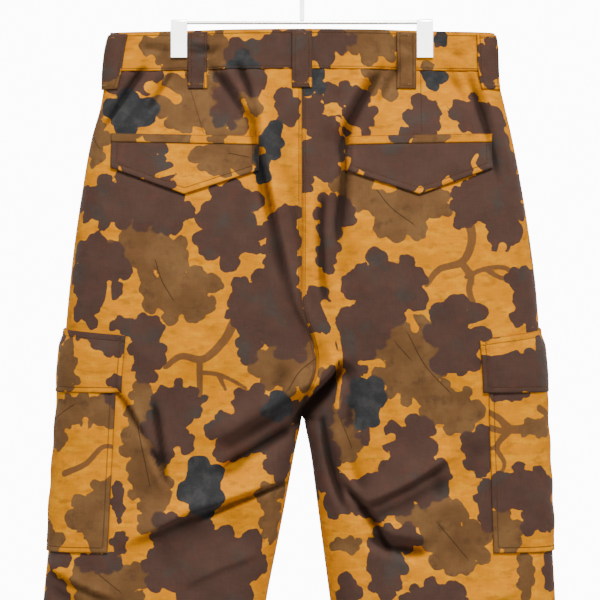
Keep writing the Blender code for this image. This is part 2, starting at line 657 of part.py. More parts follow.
def add_hook(bar_z, parent):
    """The hook: a stem on the bar, a neck curving aside, and an arc over the top."""
    radius = HOOK_INSIDE_RADIUS + HOOK_WIRE_RADIUS
    centre_z = -HOOK_INSIDE_RADIUS
    neck_drop = math.sqrt(radius**2 + 2 * radius * HOOK_NECK_RADIUS)
    neck_z = centre_z - neck_drop
    meet = math.atan2(neck_drop, HOOK_NECK_RADIUS)
    points = [(0.0, bar_z + BAR_RADIUS + SEAM_GAP), (0.0, (bar_z + neck_z) / 2)]
    for angle in np.linspace(math.pi, math.pi - meet, HOOK_NECK_POINTS):
        x = HOOK_NECK_RADIUS * (1 + math.cos(angle))
        points.append((x, neck_z + HOOK_NECK_RADIUS * math.sin(angle)))
    for angle in np.linspace(-meet, HOOK_END_ANGLE, HOOK_ARC_POINTS + 1)[1:]:
        points.append((radius * math.cos(angle), centre_z + radius * math.sin(angle)))
    curve = bpy.data.curves.new("hanger_hook", "CURVE")
    curve.dimensions = "3D"
    curve.bevel_depth = HOOK_WIRE_RADIUS
    curve.bevel_resolution = 2
    curve.use_fill_caps = True
    spline = curve.splines.new("POLY")
    spline.points.add(len(points) - 1)
    for point, (x, z) in zip(spline.points, points):
        point.co = (x, 0.0, z, 1.0)
    add_object("hanger_hook", curve, POLISHED_STEEL, parent)


def add_clip(name, x, bar_z, parent):
    """A clip: a steel strip bent over the bar, with its two jaws on the waistband."""
    jaw = CLIP_PINCH_DEPTH + BAND_PROUD + SEAM_GAP
    jaw_top = -HOOK_TO_WAIST + CLIP_JAW_ABOVE_WAIST
    jaw_end = -HOOK_TO_WAIST - CLIP_DROP
    inside, outside = [], []
    for line, wall_depth in ((inside, 0.0), (outside, CLIP_WALL)):
        face = jaw + wall_depth
        bend = BAR_RADIUS + SEAM_GAP + wall_depth
        line += [(face + CLIP_LIP_FLARE, jaw_end), (face, jaw_end + CLIP_LIP_LENGTH), (face, jaw_top)]
        line += [(bend * math.cos(angle), bar_z + bend * math.sin(angle)) for angle in BEND_ANGLES]
    inside += [(-y, z) for y, z in inside[-2::-1]]
    outside += [(-y, z) for y, z in outside[-2::-1]]
    ends = (x - CLIP_WIDTH / 2, x + CLIP_WIDTH / 2)
    grids = [[[(end, y, z) for y, z in line] for end in ends] for line in (outside, inside)]
    wall(name, *grids, POLISHED_STEEL, parent)


def main():
    """Builds every piece under one empty."""
    for thing in list(bpy.data.objects):
        bpy.data.objects.remove(thing, do_unlink=True)
    root = bpy.data.objects.new("cargo_pants", None)
    bpy.context.scene.collection.objects.link(root)
    for side in (1, -1):
        for face in ("front", "back"):
            add_panel(side, face, root)
        add_back_pocket(side, root)
        add_cargo_pocket(side, root)
    add_waistband(root)
    add_belt_loops(root)
    add_fly(root)
    add_button(root)
    add_hanger(root)


main()
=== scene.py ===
"""Looks of a pair of cargo pants hung by the waistband from a clip hanger.

Metres, +Z up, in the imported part's frame: the hook's inside top is the origin, the pants hang below it
with their back facing +Y. Every cloth piece is a thin shell on one hung form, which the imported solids
share: distance s runs round a leg from its outseam, positive over the back, and a drop is a height
below the waist's top edge. The charts of the folds and of the print are in millimetres.
"""

import logging
import math
from dataclasses import dataclass, field
from enum import Enum, IntEnum
from itertools import product
from typing import NamedTuple, Sequence

import bmesh
import bpy
import numpy as np
from mathutils import Matrix, Vector


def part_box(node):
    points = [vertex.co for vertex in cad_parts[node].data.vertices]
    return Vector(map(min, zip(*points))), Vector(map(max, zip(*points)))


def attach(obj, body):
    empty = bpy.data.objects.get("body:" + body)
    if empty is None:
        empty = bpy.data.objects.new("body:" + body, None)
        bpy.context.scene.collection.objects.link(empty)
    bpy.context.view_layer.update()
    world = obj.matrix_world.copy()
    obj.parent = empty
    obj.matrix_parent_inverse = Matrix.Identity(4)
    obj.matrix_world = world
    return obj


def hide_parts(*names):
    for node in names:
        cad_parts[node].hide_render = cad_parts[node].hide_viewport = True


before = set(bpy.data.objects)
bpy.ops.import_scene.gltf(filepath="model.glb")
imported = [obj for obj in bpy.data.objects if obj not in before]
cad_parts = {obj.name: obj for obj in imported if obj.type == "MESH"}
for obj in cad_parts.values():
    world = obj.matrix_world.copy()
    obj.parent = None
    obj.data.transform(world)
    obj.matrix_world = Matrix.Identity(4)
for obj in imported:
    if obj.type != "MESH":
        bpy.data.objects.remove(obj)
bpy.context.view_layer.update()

Array = np.ndarray
Chart = tuple[float, ...]
Line = tuple[tuple[float, float], ...]
Material = bpy.types.Material
Thing = bpy.types.Object

BODY = "root"
MM = 0.001
FAR = 0.05  # stands for "nowhere near" in a distance attribute
FOLDED = (0.0003, 0.0009)  # closer grid lines beside a folded edge


class Side(IntEnum):
    """The wearer's legs, and the sign of their X."""

    LEFT = 1
    RIGHT = -1

    @property
    def word(self) -> str:
        """The side's name in piece names."""
        return self.name.lower()


class Face(Enum):
    """The two faces of the hung pants, and the sign of s on them."""

    FRONT = -1
    BACK = 1

    @property
    def word(self) -> str:
        """The face's name in piece names."""
        return self.name.lower()


class Ink(Enum):
    """The camouflage's printing inks over the mustard ground, by their place in a row of inks."""

    DARK = 0
    OLIVE = 1
    SLATE = 2


class Cotton(Enum):
    """The cotton finishes, with slot names that are passed along but not used."""

    LEG = "printed_cotton"
    BAND = "band_cotton"
    TRIM = "trim_cotton"


LEFT, RIGHT = Side
FRONT, BACK = Face


class Section(NamedTuple):
    """How far each leg reaches out and in, how deep the faces stand, and the outseam's rounding."""

    drop: float
    out_left: float
    out_right: float
    in_left: float
    in_right: float
    front: float
    back: float
    side_roll: float


class Crease(NamedTuple):
    """A soft ridge, or a trough where height is negative, from one point of a face to another.

    lean is how much narrower its lower side is than its upper one, in a crease that runs to +X.
    """

    face: Face
    x: float
    drop: float
    x_end: float
    drop_end: float
    bow: float
    width: float
    height: float
    lean: float = 1.0


def creases(face: Face, *rows: Chart) -> tuple[Crease, ...]:
    """Creases of one face from rows in millimetres, where an eighth number is the lean."""
    return tuple(Crease(face, *(value / 1000 for value in row[:7]), *row[7:]) for row in rows)


SECTIONS = tuple(Section(*(value / 1000 for value in row)) for row in (
    (-4, 203, 204, 0, 0, 7, 7.2, 10), (11, 206, 206, 0, 0, 7.4, 7.8, 11), (48, 210, 209, 0, 0, 9.2, 11, 14),
    (80, 214.5, 216, 0, 0, 12.5, 17.5, 21), (111, 223, 223, 0, 0, 15.5, 24, 28),
    (175, 234.5, 235, 0, 0, 20, 33, 39), (222.5, 241.5, 242.5, 0, 0, 23.5, 37, 46),
    (270, 247, 248.5, 0, 0, 26.5, 39.5, 51), (318, 251.5, 252.5, 0, 0, 29, 40.5, 55),
    (366, 256, 257, 0, 0, 31.5, 40.5, 58), (412, 259.5, 259, 0.4, 2, 33.5, 39.5, 60),
    (445, 262, 261, 7.2, 8.5, 34.5, 38.5, 60), (493, 265.5, 263.5, 16, 15, 34.5, 37, 60),
    (540.5, 269, 266, 25.2, 21.2, 34, 35.5, 59), (603, 275, 269.5, 37.5, 29.5, 32.5, 33.5, 57),
    (760, 282, 274.5, 56, 47.5, 29.5, 30, 53), (910, 286, 278.5, 67, 58.5, 27, 27.5, 50),
    (1070, 289, 281.5, 75.5, 67, 25.5, 26, 47),
))

# The folds that the solids have too, in the columns of Crease
MAIN_FOLDS = (
    creases(
        BACK,
        (115, 130, 110, 400, 10, 70, 7), (-120, 130, -115, 400, -10, 70, 7), (0, 60, 0, 330, 0, 18, -3),
        (153, 42, 212, 100, 0, 14, -2.5), (-150, 42, -212, 100, 0, 14, -2.5), (47, 170, 4, 330, 6, 18, 4),
        (-30, 160, -34, 290, 8, 16, -3.5), (-50, 180, -62, 330, 8, 20, 3.5), (8, 412, 85, 462, -6, 18, -4.5),
        (20, 482, 176, 541, -16, 20, 5.5), (40, 520, 170, 580, -10, 20, -4), (150, 440, 172, 500, 0, 18, -4),
        (-26, 440, -88, 552, 12, 18, -5), (-56, 516, -150, 474, -6, 18, 5), (-88, 552, -180, 560, 6, 22, -4),
        (270, 568, 205, 612, 0, 20, -4.5), (60, 700, 230, 760, -12, 28, -6), (90, 790, 260, 750, 10, 28, 5),
        (-60, 745, -240, 705, 12, 28, -6), (-80, 800, -250, 830, -10, 28, 5),
        (90, 960, 250, 905, 8, 26, -4.5), (-85, 915, -250, 970, 8, 26, -4.5),
    )
    + creases(
        FRONT,
        (10, 300, 110, 255, 6, 20, -4), (-12, 320, -100, 265, -6, 20, -4), (12, 400, 120, 440, -8, 22, -5),
        (-16, 410, -130, 430, 8, 22, -5), (90, 60, 120, 230, 6, 20, -3), (-100, 60, -115, 250, -6, 20, -3),
        (40, 520, 150, 590, -10, 24, 5), (-45, 560, -150, 510, 10, 24, 5), (70, 730, 240, 700, 12, 28, -5.5),
        (-70, 690, -235, 735, -12, 28, -5.5), (80, 900, 250, 950, -10, 26, -4.5),
        (-75, 960, -250, 900, 10, 26, -4.5),
    )
)

# Finer creases of the cloth alone, in the same columns
FINE_CREASES = (
    creases(
        BACK,
        # Drag lines down the seat beside the centre seam
        (-8, 350, 50, 62, 2, 13, 6.8, 0.22), (22, 214, 55, 52, 1, 11, 7, 0.28),
        (29, 224, 62, 56, 1, 4.2, -3.6), (56, 80, 10, 300, -2, 10, -4, 0.45),
        (-96, 30, -34, 150, -8, 6.5, -9), (-76, 34, -28, 122, -4, 8, 6.5), (-46, 82, -34, 238, 4, 5.5, -8.5),
        (-52, 120, -50, 250, 3, 8, 4), (-24, 165, -27, 300, -6, 5, -7), (-14, 120, -12, 280, -4, 8, 4),
        # The band buckles beside the clips
        (172, 17, 136, 21, 1, 3.6, -2.4), (168, 9, 138, 12, 0, 5, 1.6), (126, 21, 88, 26, 1, 4, -2.8),
        (122, 12, 78, 15, 0, 5, 1.8), (-140, 20, -176, 30, 1, 4, -1.6), (-96, 12, -124, 24, 0, 4, -1.4),
        # Pulls under the waistband, from the loops and the darts
        (160, 30, 218, 112, 0, 5, -7.5), (146, 34, 206, 118, 0, 7.5, 5), (134, 34, 166, 92, 0, 4.5, -4.2),
        (104, 30, 50, 108, 2, 5, -5.2), (88, 34, 46, 96, 2, 5.5, 4.2), (72, 28, 41, 120, 3, 4.2, -6.2),
        (-106, 30, -76, 86, 0, 4.5, -5), (-150, 34, -178, 84, 0, 5, -3.6), (-170, 36, -210, 172, 4, 6, -6.8),
        (-190, 46, -218, 156, 2, 7.5, 4.2),
        # The seat's cloth hangs over the crotch
        (-40, 344, 14, 392, 3, 16, 8.5, 0.16), (12, 424, -42, 346, 2, 16, -30, 0.3),
        (-34, 340, -38, 425, 2, 6, 5), (-48, 340, -52, 430, 0, 8, -3.5),
        # The roll below the crotch on the left leg, with its shadowed underside
        (-18, 354, 108, 438, 6, 20, 11, 0.5), (100, 474, -6, 410, 0, 12, -10, 0.4),
        (28, 350, 40, 400, 4, 10, -2.2),
        # The long fold across the left thigh
        (0, 470, 204, 550, -7, 18, 8, 0.26), (-6, 474, 118, 522, -4, 3.2, -5.2),
        (92, 498, 156, 528, -3, 10, 3, 0.25),
        # Two pulls beside the left cargo pocket
        (200, 372, 138, 486, 3, 4.2, -6.8, 0.6), (176, 388, 142, 492, -2, 7.5, 6.2, 0.5),
        (158, 384, 144, 482, 2, 4.2, -6),
        # Below the left cargo pocket
        (188, 602, 282, 558, 4, 14, 6, 0.18), (280, 584, 196, 620, -4, 12, -4, 0.5),
        (40, 552, 130, 590, -4, 14, 3.4, 0.3),
        # The fold that winds round the right thigh
        (-20, 396, -50, 518, -5, 5.5, -8.5, 0.7), (-34, 404, -62, 508, -4, 10, 5.5, 0.6),
        (-36, 474, -96, 562, 6, 6, -9.5, 0.7), (-138, 554, -62, 532, 6, 7, -9.5, 0.8),
        (-140, 536, -78, 524, 3, 14, 5.5, 0.4),
        # The roll across the right thigh
        (-166, 440, -46, 506, 6, 18, 9.5, 0.22), (-64, 524, -164, 470, -2, 14, -5.5, 0.5),
        (-190, 430, -158, 500, 0, 12, -3), (-236, 586, -150, 606, 6, 14, 3.6, 0.3),
        # Across the seat and thighs
        (100, 230, 180, 214, 4, 16, -0.9), (-190, 240, -100, 262, 4, 16, -0.9),
        (60, 330, 170, 345, -4, 16, -1), (-170, 350, -70, 330, 4, 16, -1),
        # Knees and lower legs, back
        (70, 668, 200, 700, -8, 12, 3, 0.4), (120, 735, 262, 720, 6, 12, 2.6, 0.4),
        (75, 845, 180, 880, -6, 12, 2.4, 0.4), (130, 985, 262, 955, 4, 12, 2.2, 0.5),
        (-210, 675, -60, 700, 8, 12, 3, 0.4), (-250, 760, -110, 775, 6, 12, 2.6, 0.4),
        (-200, 890, -75, 860, -6, 12, 2.4, 0.4), (-255, 940, -120, 985, 4, 12, 2.2, 0.5),
    )
    + creases(
        FRONT,
        (12, 330, 90, 300, 3, 9, -3.7, 0.6), (10, 372, 80, 366, 2, 9, -3.7, 0.6),
        (-92, 306, -12, 340, 3, 9, -3.7, 0.6), (-84, 372, -12, 376, 2, 9, -3.7, 0.6),
        (6, 412, 90, 452, -6, 11, 4.4, 0.4), (-95, 446, -10, 418, -6, 11, 4.4, 0.4),
        (60, 60, 90, 150, 2, 7, -2), (-60, 60, -92, 150, 2, 7, -2), (150, 50, 190, 100, 2, 7, -2.4),
        (-155, 50, -188, 100, 2, 7, -2.4), (60, 620, 200, 660, -8, 12, 4.8, 0.4),
        (110, 690, 250, 668, 6, 12, 4.4, 0.4), (-200, 650, -60, 640, 8, 12, 4.8, 0.4),
        (-240, 700, -110, 720, 6, 12, 4.4, 0.4), (85, 840, 220, 870, -6, 12, 4.1, 0.4),
        (-230, 850, -80, 880, 6, 12, 4.1, 0.4), (110, 990, 250, 965, 4, 12, 3.4, 0.5),
        (-250, 975, -110, 1000, 4, 12, 3.4, 0.5),
    )
)


def ramp(value: Array | float, length: float = 1.0, start: float = 0.0) -> Array:
    """0 before a start, 1 from a length after it on, and a smooth rise between."""
    t = np.clip((value - start) / length, 0.0, 1.0)
    return t * t * (3 - 2 * t)


def bell(value: Array | float, width: Array | float) -> Array:
    """1 at 0, falling away on both sides over a width."""
    return np.exp(-((value / width) ** 2))


def nearer(one: Array, other: Array) -> Array:
    """The shorter of two signed distances at each point."""
    return np.where(np.abs(one) < np.abs(other), one, other)


def inside(value: Array, length: Array | float) -> Array:
    """The distance to the nearer end of a length."""
    return np.minimum(value, length - value)


class Relief(NamedTuple):
    """How a piece turns back round its edges, and the groove along its stitches: depths and widths."""

    fall: float
    reach: float
    groove: float = 0.0
    groove_width: float = 0.001

    def sunk(self, edge: Array, stitch: Array | float = FAR) -> Array:
        """How far cloth lies under the piece's level, from distances to an edge and to a stitch."""
        turn = 1 - np.sqrt(1 - np.clip(1 - edge / self.reach, 0, 1) ** 2)
        return self.fall * turn + self.groove * bell(stitch, self.groove_width)


class Ring(NamedTuple):
    """One leg's ring at a drop: distances from the outseam, points, normals and the flat cloth's start."""

    s: Array
    x: Array
    y: Array
    normal_x: Array
    normal_y: Array
    start: float


@dataclass
class HungForm:
    """The surface that the hung cloth follows, with its creases."""

    hook_to_waist: float = 0.094
    waistband_height: float = 0.042
    crotch_drop: float = 0.411
    hem_drop: float = 1.060
    piece_gap: float = 0.0003
    wall_room: float = 0.0012
    front_curve_drop: float = 0.235
    back_curve_drop: float = 0.185
    crotch_squareness: float = 1.7
    crotch_ramp: float = 0.030
    crotch_opening: float = 0.004
    inner_roll: float = 0.048
    centre_x: float = 0.09
    centre_ramp: float = 0.06
    clip_x: float = 0.1307
    pinch_depth: float = 0.0017
    pinch_flat: float = 0.015
    pinch_reach: float = 0.042
    pinch_full_drop: float = 0.034
    pinch_end_drop: float = 0.115
    fold_end_share: float = 0.25
    outseam_fade: float = 0.03
    samples: int = 28
    ripple: float = 0.00035
    pucker: float = 0.0005
    seat_shift: float = 0.015
    seat_shift_width: float = 0.035
    seat_shift_in: tuple[float, float] = (0.065, 0.285)
    seat_shift_out: tuple[float, float] = (0.05, 0.355)
    band_arch: float = 0.0018
    arch_end_drop: float = 0.120
    grain_x: float = 0.13
    creases: tuple[Crease, ...] = MAIN_FOLDS + FINE_CREASES
    rings: dict[tuple[int, float], Ring] = field(default_factory=dict, repr=False)

    def __post_init__(self) -> None:
        """Keeps the section table as columns, with their slopes."""
        self.columns = {name: np.array([getattr(row, name) for row in SECTIONS]) for name in Section._fields}
        drops = self.columns["drop"]
        self.slopes = {name: np.gradient(values, drops) for name, values in self.columns.items()}

    def at_drop(self, name: str, drop: float) -> float:
        """A section column at any drop, along a smooth curve through the table's rows.

        Args:
            name: The column.
            drop: The drop.

        Returns:
            The column's value there.
        """
        drops, values, slopes = self.columns["drop"], self.columns[name], self.slopes[name]
        row = int(np.clip(np.searchsorted(drops, drop) - 1, 0, len(drops) - 2))
        span = drops[row + 1] - drops[row]
        t = (drop - drops[row]) / span
        start = (2 * t**3 - 3 * t**2 + 1) * values[row] + (t**3 - 2 * t**2 + t) * span * slopes[row]
        end = (3 * t**2 - 2 * t**3) * values[row + 1] + (t**3 - t**2) * span * slopes[row + 1]
        return float(start + end)

    def turn(self, face: Face, drop: float) -> float:
        """How far a face has turned in at its inner edge.

        Args:
            face: The face.
            drop: The drop.

        Returns:
            0 at the centre seams, and a right angle at the inseam.
        """
        start = self.front_curve_drop if face is FRONT else self.back_curve_drop
        share = float(np.clip((drop - start) / (self.crotch_drop - start), 0.0, 1.0))
        return math.asin(share**self.crotch_squareness)

    def half_ring(self, side: Side, face: Face, drop: float) -> tuple[Array, Array]:
        """One face of one leg at a drop.

        Args:
            side: The leg.
            face: The face.
            drop: The drop.

        Returns:
            Its x and y from the outseam to the inner edge.
        """
        out_x, in_x = (self.at_drop(f"{way}_{side.word}", drop) for way in ("out", "in"))
        in_x = max(in_x, 0.0) if drop > self.crotch_drop else 0.0
        depth, roll = self.at_drop(face.word, drop), self.at_drop("side_roll", drop)
        turn = self.turn(face, drop)
        outer = np.linspace(math.pi / 2, 0, self.samples)
        inner = np.linspace(0, turn, self.samples)[1:]
        inner_start = in_x + self.inner_roll * math.sin(turn)
        middle = np.linspace(out_x - roll, inner_start, 2 * self.samples)[1:]
        rolled_in = inner_start - self.inner_roll * np.sin(inner)
        x = np.concatenate((out_x - roll + roll * np.sin(outer), middle, rolled_in))
        y = np.concatenate((depth * np.cos(outer), np.full(len(middle), depth), depth * np.cos(inner)))
        near_clip = 1 - ramp(np.abs(x - self.clip_x), self.pinch_reach, self.pinch_flat)
        pinch = near_clip * (1 - ramp(drop, self.pinch_end_drop - self.pinch_full_drop, self.pinch_full_drop))
        return x, y * (1 - pinch * (1 - self.pinch_depth / depth))

    def ring(self, side: Side, drop: float) -> Ring:
        """One leg's ring, worked out once.

        Args:
            side: The leg.
            drop: The drop.

        Returns:
            The ring.
        """
        key = (int(side), round(float(drop), 4))
        if key not in self.rings:
            back_x, back_y = self.half_ring(side, BACK, key[1])
            front_x, front_y = self.half_ring(side, FRONT, key[1])
            x = np.concatenate((front_x[::-1], back_x[1:]))
            y = np.concatenate((-front_y[::-1], back_y[1:]))
            keep = np.concatenate(([True], np.hypot(np.diff(x), np.diff(y)) > 1e-7))
            x, y = x[keep], y[keep]
            s = np.concatenate(([0.0], np.cumsum(np.hypot(np.diff(x), np.diff(y)))))
            tangent_x, tangent_y = np.gradient(x, s), np.gradient(y, s)
            size = np.hypot(tangent_x, tangent_y)
            outer = np.abs(x) > 0.9 * x.max()
            s = s - np.interp(0.0, y[outer], s[outer])
            grain = np.interp(self.grain_x, x[s >= 0][::-1], s[s >= 0][::-1])
            self.rings[key] = Ring(s, x, y, tangent_y / size, -tangent_x / size, self.grain_x + float(grain))
        return self.rings[key]

    def looked_up(self, side: Array, s: Array, drop: Array) -> Array:
        """What the rings say at points.

        Args:
            side: 1 or -1 for each point.
            s: Distances from the outseam.
            drop: Drops below the waist's top edge.

        Returns:
            One row a point: x, y, the normal's x and y, the inner edge's x, and the flat cloth's x.
        """
        found = np.empty((len(s), 6))
        values, inverse = np.unique(np.round(drop, 4) * side, return_inverse=True)
        order = np.argsort(inverse, kind="stable")
        for rows in np.split(order, np.cumsum(np.bincount(inverse))[:-1]):
            ring = self.ring(Side(int(side[rows[0]])), float(drop[rows[0]]))
            for column, values in enumerate(ring[1:5]):
                found[rows, column] = np.interp(s[rows], ring.s, values)
            found[rows, 4] = min(ring.x[0], ring.x[-1])
            found[rows, 5] = side[rows] * (ring.start - s[rows])
        return found

    def rise(self, face: Face, x: Array, drop: Array) -> Array:
        """How far the creases of one face move the cloth outward.

        Args:
            face: The face.
            x: The points' x.
            drop: Their drops.

        Returns:
            A distance for each point.
        """
        total = np.zeros_like(x)
        for crease in self.creases:
            if crease.face is not face:
                continue
            run = np.array((crease.x_end - crease.x, crease.drop_end - crease.drop))
            length = float(np.linalg.norm(run))
            run = run / length
            along = ((x - crease.x) * run[0] + (drop - crease.drop) * run[1]) / length
            across = (drop - crease.drop) * run[0] - (x - crease.x) * run[1]
            across = across - crease.bow * 4 * along * (1 - along)
            width = np.where(across > 0, crease.width * crease.lean, crease.width)
            ends = ramp(along, self.fold_end_share) * ramp(1 - along, self.fold_end_share)
            total += crease.height * ends * bell(across, width)
        return total + self.ripples(x, drop)

    def risen(self, side: Array, s: Array, drop: Array, x: Array) -> Array:
        """How far the creases move points of both faces outward, less beside the outseams.

        Args:
            side: 1 or -1 for each point.
            s: Distances from the outseam.
            drop: Drops below the waist's top edge.
            x: Distances from the middle plane.

        Returns:
            A distance for each point.
        """
        rise = np.zeros_like(x)
        for face in Face:
            here = s >= 0 if face is BACK else s < 0
            rise[here] = self.rise(face, (side * x)[here], drop[here])
        return rise * ramp(np.abs(s), self.outseam_fade)

    def ripples(self, x: Array, drop: Array) -> Array:
        """The cloth's faint unevenness, and its puckers under the waistband and above the hems.

        Args:
            x: The points' x.
            drop: Their drops.

        Returns:
            A distance for each point.
        """
        waves = ((83, 31, 0.4), (-47, 68, 1.9), (121, -57, 3.1), (29, 113, 4.4), (-139, -92, 5.2))
        total = sum(np.sin(a * x + b * drop + c + 1.3 * np.sin(17 * x - 23 * drop + c)) for a, b, c in waves)
        below_band = np.exp(-np.clip(drop - self.waistband_height, 0, None) / 0.016)
        above_hem = np.exp(-np.clip(self.hem_drop - 0.028 - drop, 0, None) / 0.020)
        pucker = np.sin(x * 390 + 2.0 * np.sin(x * 61)) * below_band + np.sin(x * 300) * above_hem
        calm = ramp(drop, 0.030, self.waistband_height)
        return self.ripple * total * calm + self.pucker * pucker * (drop > self.waistband_height)

    def place(self, side: Array, s: Array, drop: Array, lift: Array) -> Array:
        """Points on the cloth.

        Args:
            side: 1 or -1 for each point.
            s: Distances from the outseam.
            drop: Drops below the waist's top edge.
            lift: Distances outward from the form.

        Returns:
            An array of x, y, z rows.
        """
        x, y, normal_x, normal_y, inner_x, _ = self.looked_up(side, s, drop).T
        rise = self.risen(side, s, drop, x)
        size = np.hypot(normal_x, normal_y)
        out = ramp(x, self.centre_ramp, self.centre_x)
        facing = np.clip(np.abs(normal_y), 0, 1)
        straight = np.maximum(facing, 1 - ramp(drop, self.crotch_ramp, self.crotch_drop - self.crotch_ramp))
        side_lift = np.where((lift < 0) & (normal_x < 0), 0.0, lift) * normal_x / size
        moved_x = np.maximum(x + normal_x * rise * facing * out, inner_x) + side_lift
        outward = np.where(s > 0, 1.0, -1.0)
        moved_y = y + rise * (out * normal_y * facing + (1 - out) * outward * straight)
        closed = ramp(drop, self.crotch_opening, self.crotch_drop - self.crotch_opening)
        kept_off = outward * self.wall_room * (1 - closed) + closed * moved_y
        moved_y = np.where(moved_y * outward < self.wall_room, kept_off, moved_y) + lift * normal_y / size
        low = ramp(drop, *self.seat_shift_in) * (1 - ramp(drop, *self.seat_shift_out))
        shift = self.seat_shift * low * bell(moved_x, self.seat_shift_width) * (s > 0)
        arch = self.band_arch * (1 - (moved_x / self.clip_x) ** 2) * (1 - ramp(drop, self.arch_end_drop))
        return np.stack((side * moved_x - shift, moved_y, arch - self.hook_to_waist - drop), axis=1)

    def reach(self, side: Side, face: Face, drop: float) -> float:
        """The distance from the outseam to a face's inner edge."""
        ring = self.ring(side, drop)
        return float(ring.s[-1] if face is BACK else -ring.s[0])

    def distance_at_x(self, side: Side, face: Face, x: float, drop: float) -> float:
        """Where a face is x from the middle plane.

        Args:
            side: The leg.
            face: The face.
            x: The distance from the middle plane.
            drop: The drop.

        Returns:
            The distance from the outseam.
        """
        ring = self.ring(side, drop)
        part = ring.s >= 0 if face is BACK else ring.s <= 0
        order = np.argsort(ring.x[part])
        return float(np.interp(x, ring.x[part][order], ring.s[part][order]))

    def flat_x(self, side: Side, x: float, drop: float) -> float:
        """The flat cloth's x at a point of the hung back.

        Args:
            side: The leg.
            x: The point's x as seen from behind.
            drop: Its drop.

        Returns:
            The x on the flat cloth.
        """
        ring = self.ring(side, drop)
        xs, distances = ring.x[ring.s >= 0][::-1], ring.s[ring.s >= 0][::-1]
        on_cloth = min(max(side * x, xs[0]), xs[-1])
        return float(side * (ring.start - np.interp(on_cloth, xs, distances)) + x - side * on_cloth)


FORM = HungForm()


class Leaf(NamedTuple):
    """A printed leaf: its ink, its middle's place, its half sizes in millimetres and its turn in degrees."""

    ink: Ink
    x: float
    drop: float
    across: float
    along: float
    turn: float = 0.0

    def discs(self) -> Array:
        """The round lobes and scallops of its outline.

        Returns:
            Rows of x, y and radius about its middle, in millimetres.
        """
        rng = np.random.default_rng(int(abs(self.x) * 7 + self.drop * 13 + self.across * 3))
        plump, uneven = (1.35, 0.45) if self.ink is Ink.SLATE else (1.0, 1.0)
        usual = plump * float(np.clip(0.30 * min(self.across, self.along) + 2.5, 4.5, 13.0))
        ring_x, ring_y = self.ring(usual)
        smooth = self.ink is Ink.SLATE or usual < 6.5
        count = max(3, round(math.pi * (ring_x + ring_y) / (1.75 * usual)))
        rows = []
        for k in range(count):
            angle = 2 * math.pi * (k + rng.uniform(-0.30, 0.30)) / count
            lobe = usual * (0.96 + uneven * rng.uniform(-0.32, 0.32))
            out = np.array((math.cos(angle) * ring_x, math.sin(angle) * ring_y))
            away = out / max(np.hypot(*out), 1.0)
            out = out + uneven * rng.uniform(-3.2, 3.0) * away
            rows += [(*out, lobe * 0.84), (*(out * 0.66), lobe * 0.9)]
            heading = math.atan2(away[1], away[0]) if ring_x + ring_y > 1 else angle
            for turn in () if smooth else (-1.2, -0.35, 0.45, 1.25)[rng.integers(0, 2):]:
                scallop = lobe * rng.uniform(0.38, 0.62)
                reach = lobe * rng.uniform(0.90, 1.02) - scallop * 0.78
                tip = heading + turn + rng.uniform(-0.16, 0.16)
                rows.append((out[0] + math.cos(tip) * reach, out[1] + math.sin(tip) * reach, scallop))
        return np.array(rows)

    def ring(self, lobe: float) -> tuple[float, float]:
        """How far the middles of lobes of one radius lie from the leaf's middle, across and along."""
        inset = (0.46 if self.ink is Ink.OLIVE else 0.58) * lobe
        return max(self.across - inset, 0.25 * lobe), max(self.along - inset, 0.25 * lobe)

    def laid(self, side: Side) -> "Leaf":
        """The leaf moved from where it's seen on the hung back to its place on the flat cloth."""
        return self._replace(x=FORM.flat_x(side, self.x * MM, self.drop * MM) / MM)

    def depth(self, points: Array, core: float = 0.76) -> Array:
        """How far inside its outline points are.

        Args:
            points: Rows of x and drop on the flat cloth.
            core: How much of its half sizes the leaf's plain middle fills.

        Returns:
            Distances in metres, negative outside.
        """
        turn = math.radians(self.turn)
        offset = (points - np.array((self.x, self.drop)) * MM) / MM
        across = offset[:, 0] * math.cos(turn) + offset[:, 1] * math.sin(turn)
        along = offset[:, 1] * math.cos(turn) - offset[:, 0] * math.sin(turn)
        best = 1 - np.hypot(across / (self.across * core), along / (self.along * core))
        best = best * min(self.across, self.along) * core
        waves = 0.9 * np.sin(0.21 * along + 0.12 * self.x) + 0.5 * np.sin(0.47 * across + 0.33 * along)
        across = across + waves
        waves = 0.9 * np.sin(0.24 * across + 0.15 * self.drop) + 0.5 * np.sin(0.43 * along - 0.3 * across)
        along = along + waves
        for x, y, radius in self.discs():
            np.maximum(best, radius - np.hypot(across - x, along - y), out=best)
        return best * MM


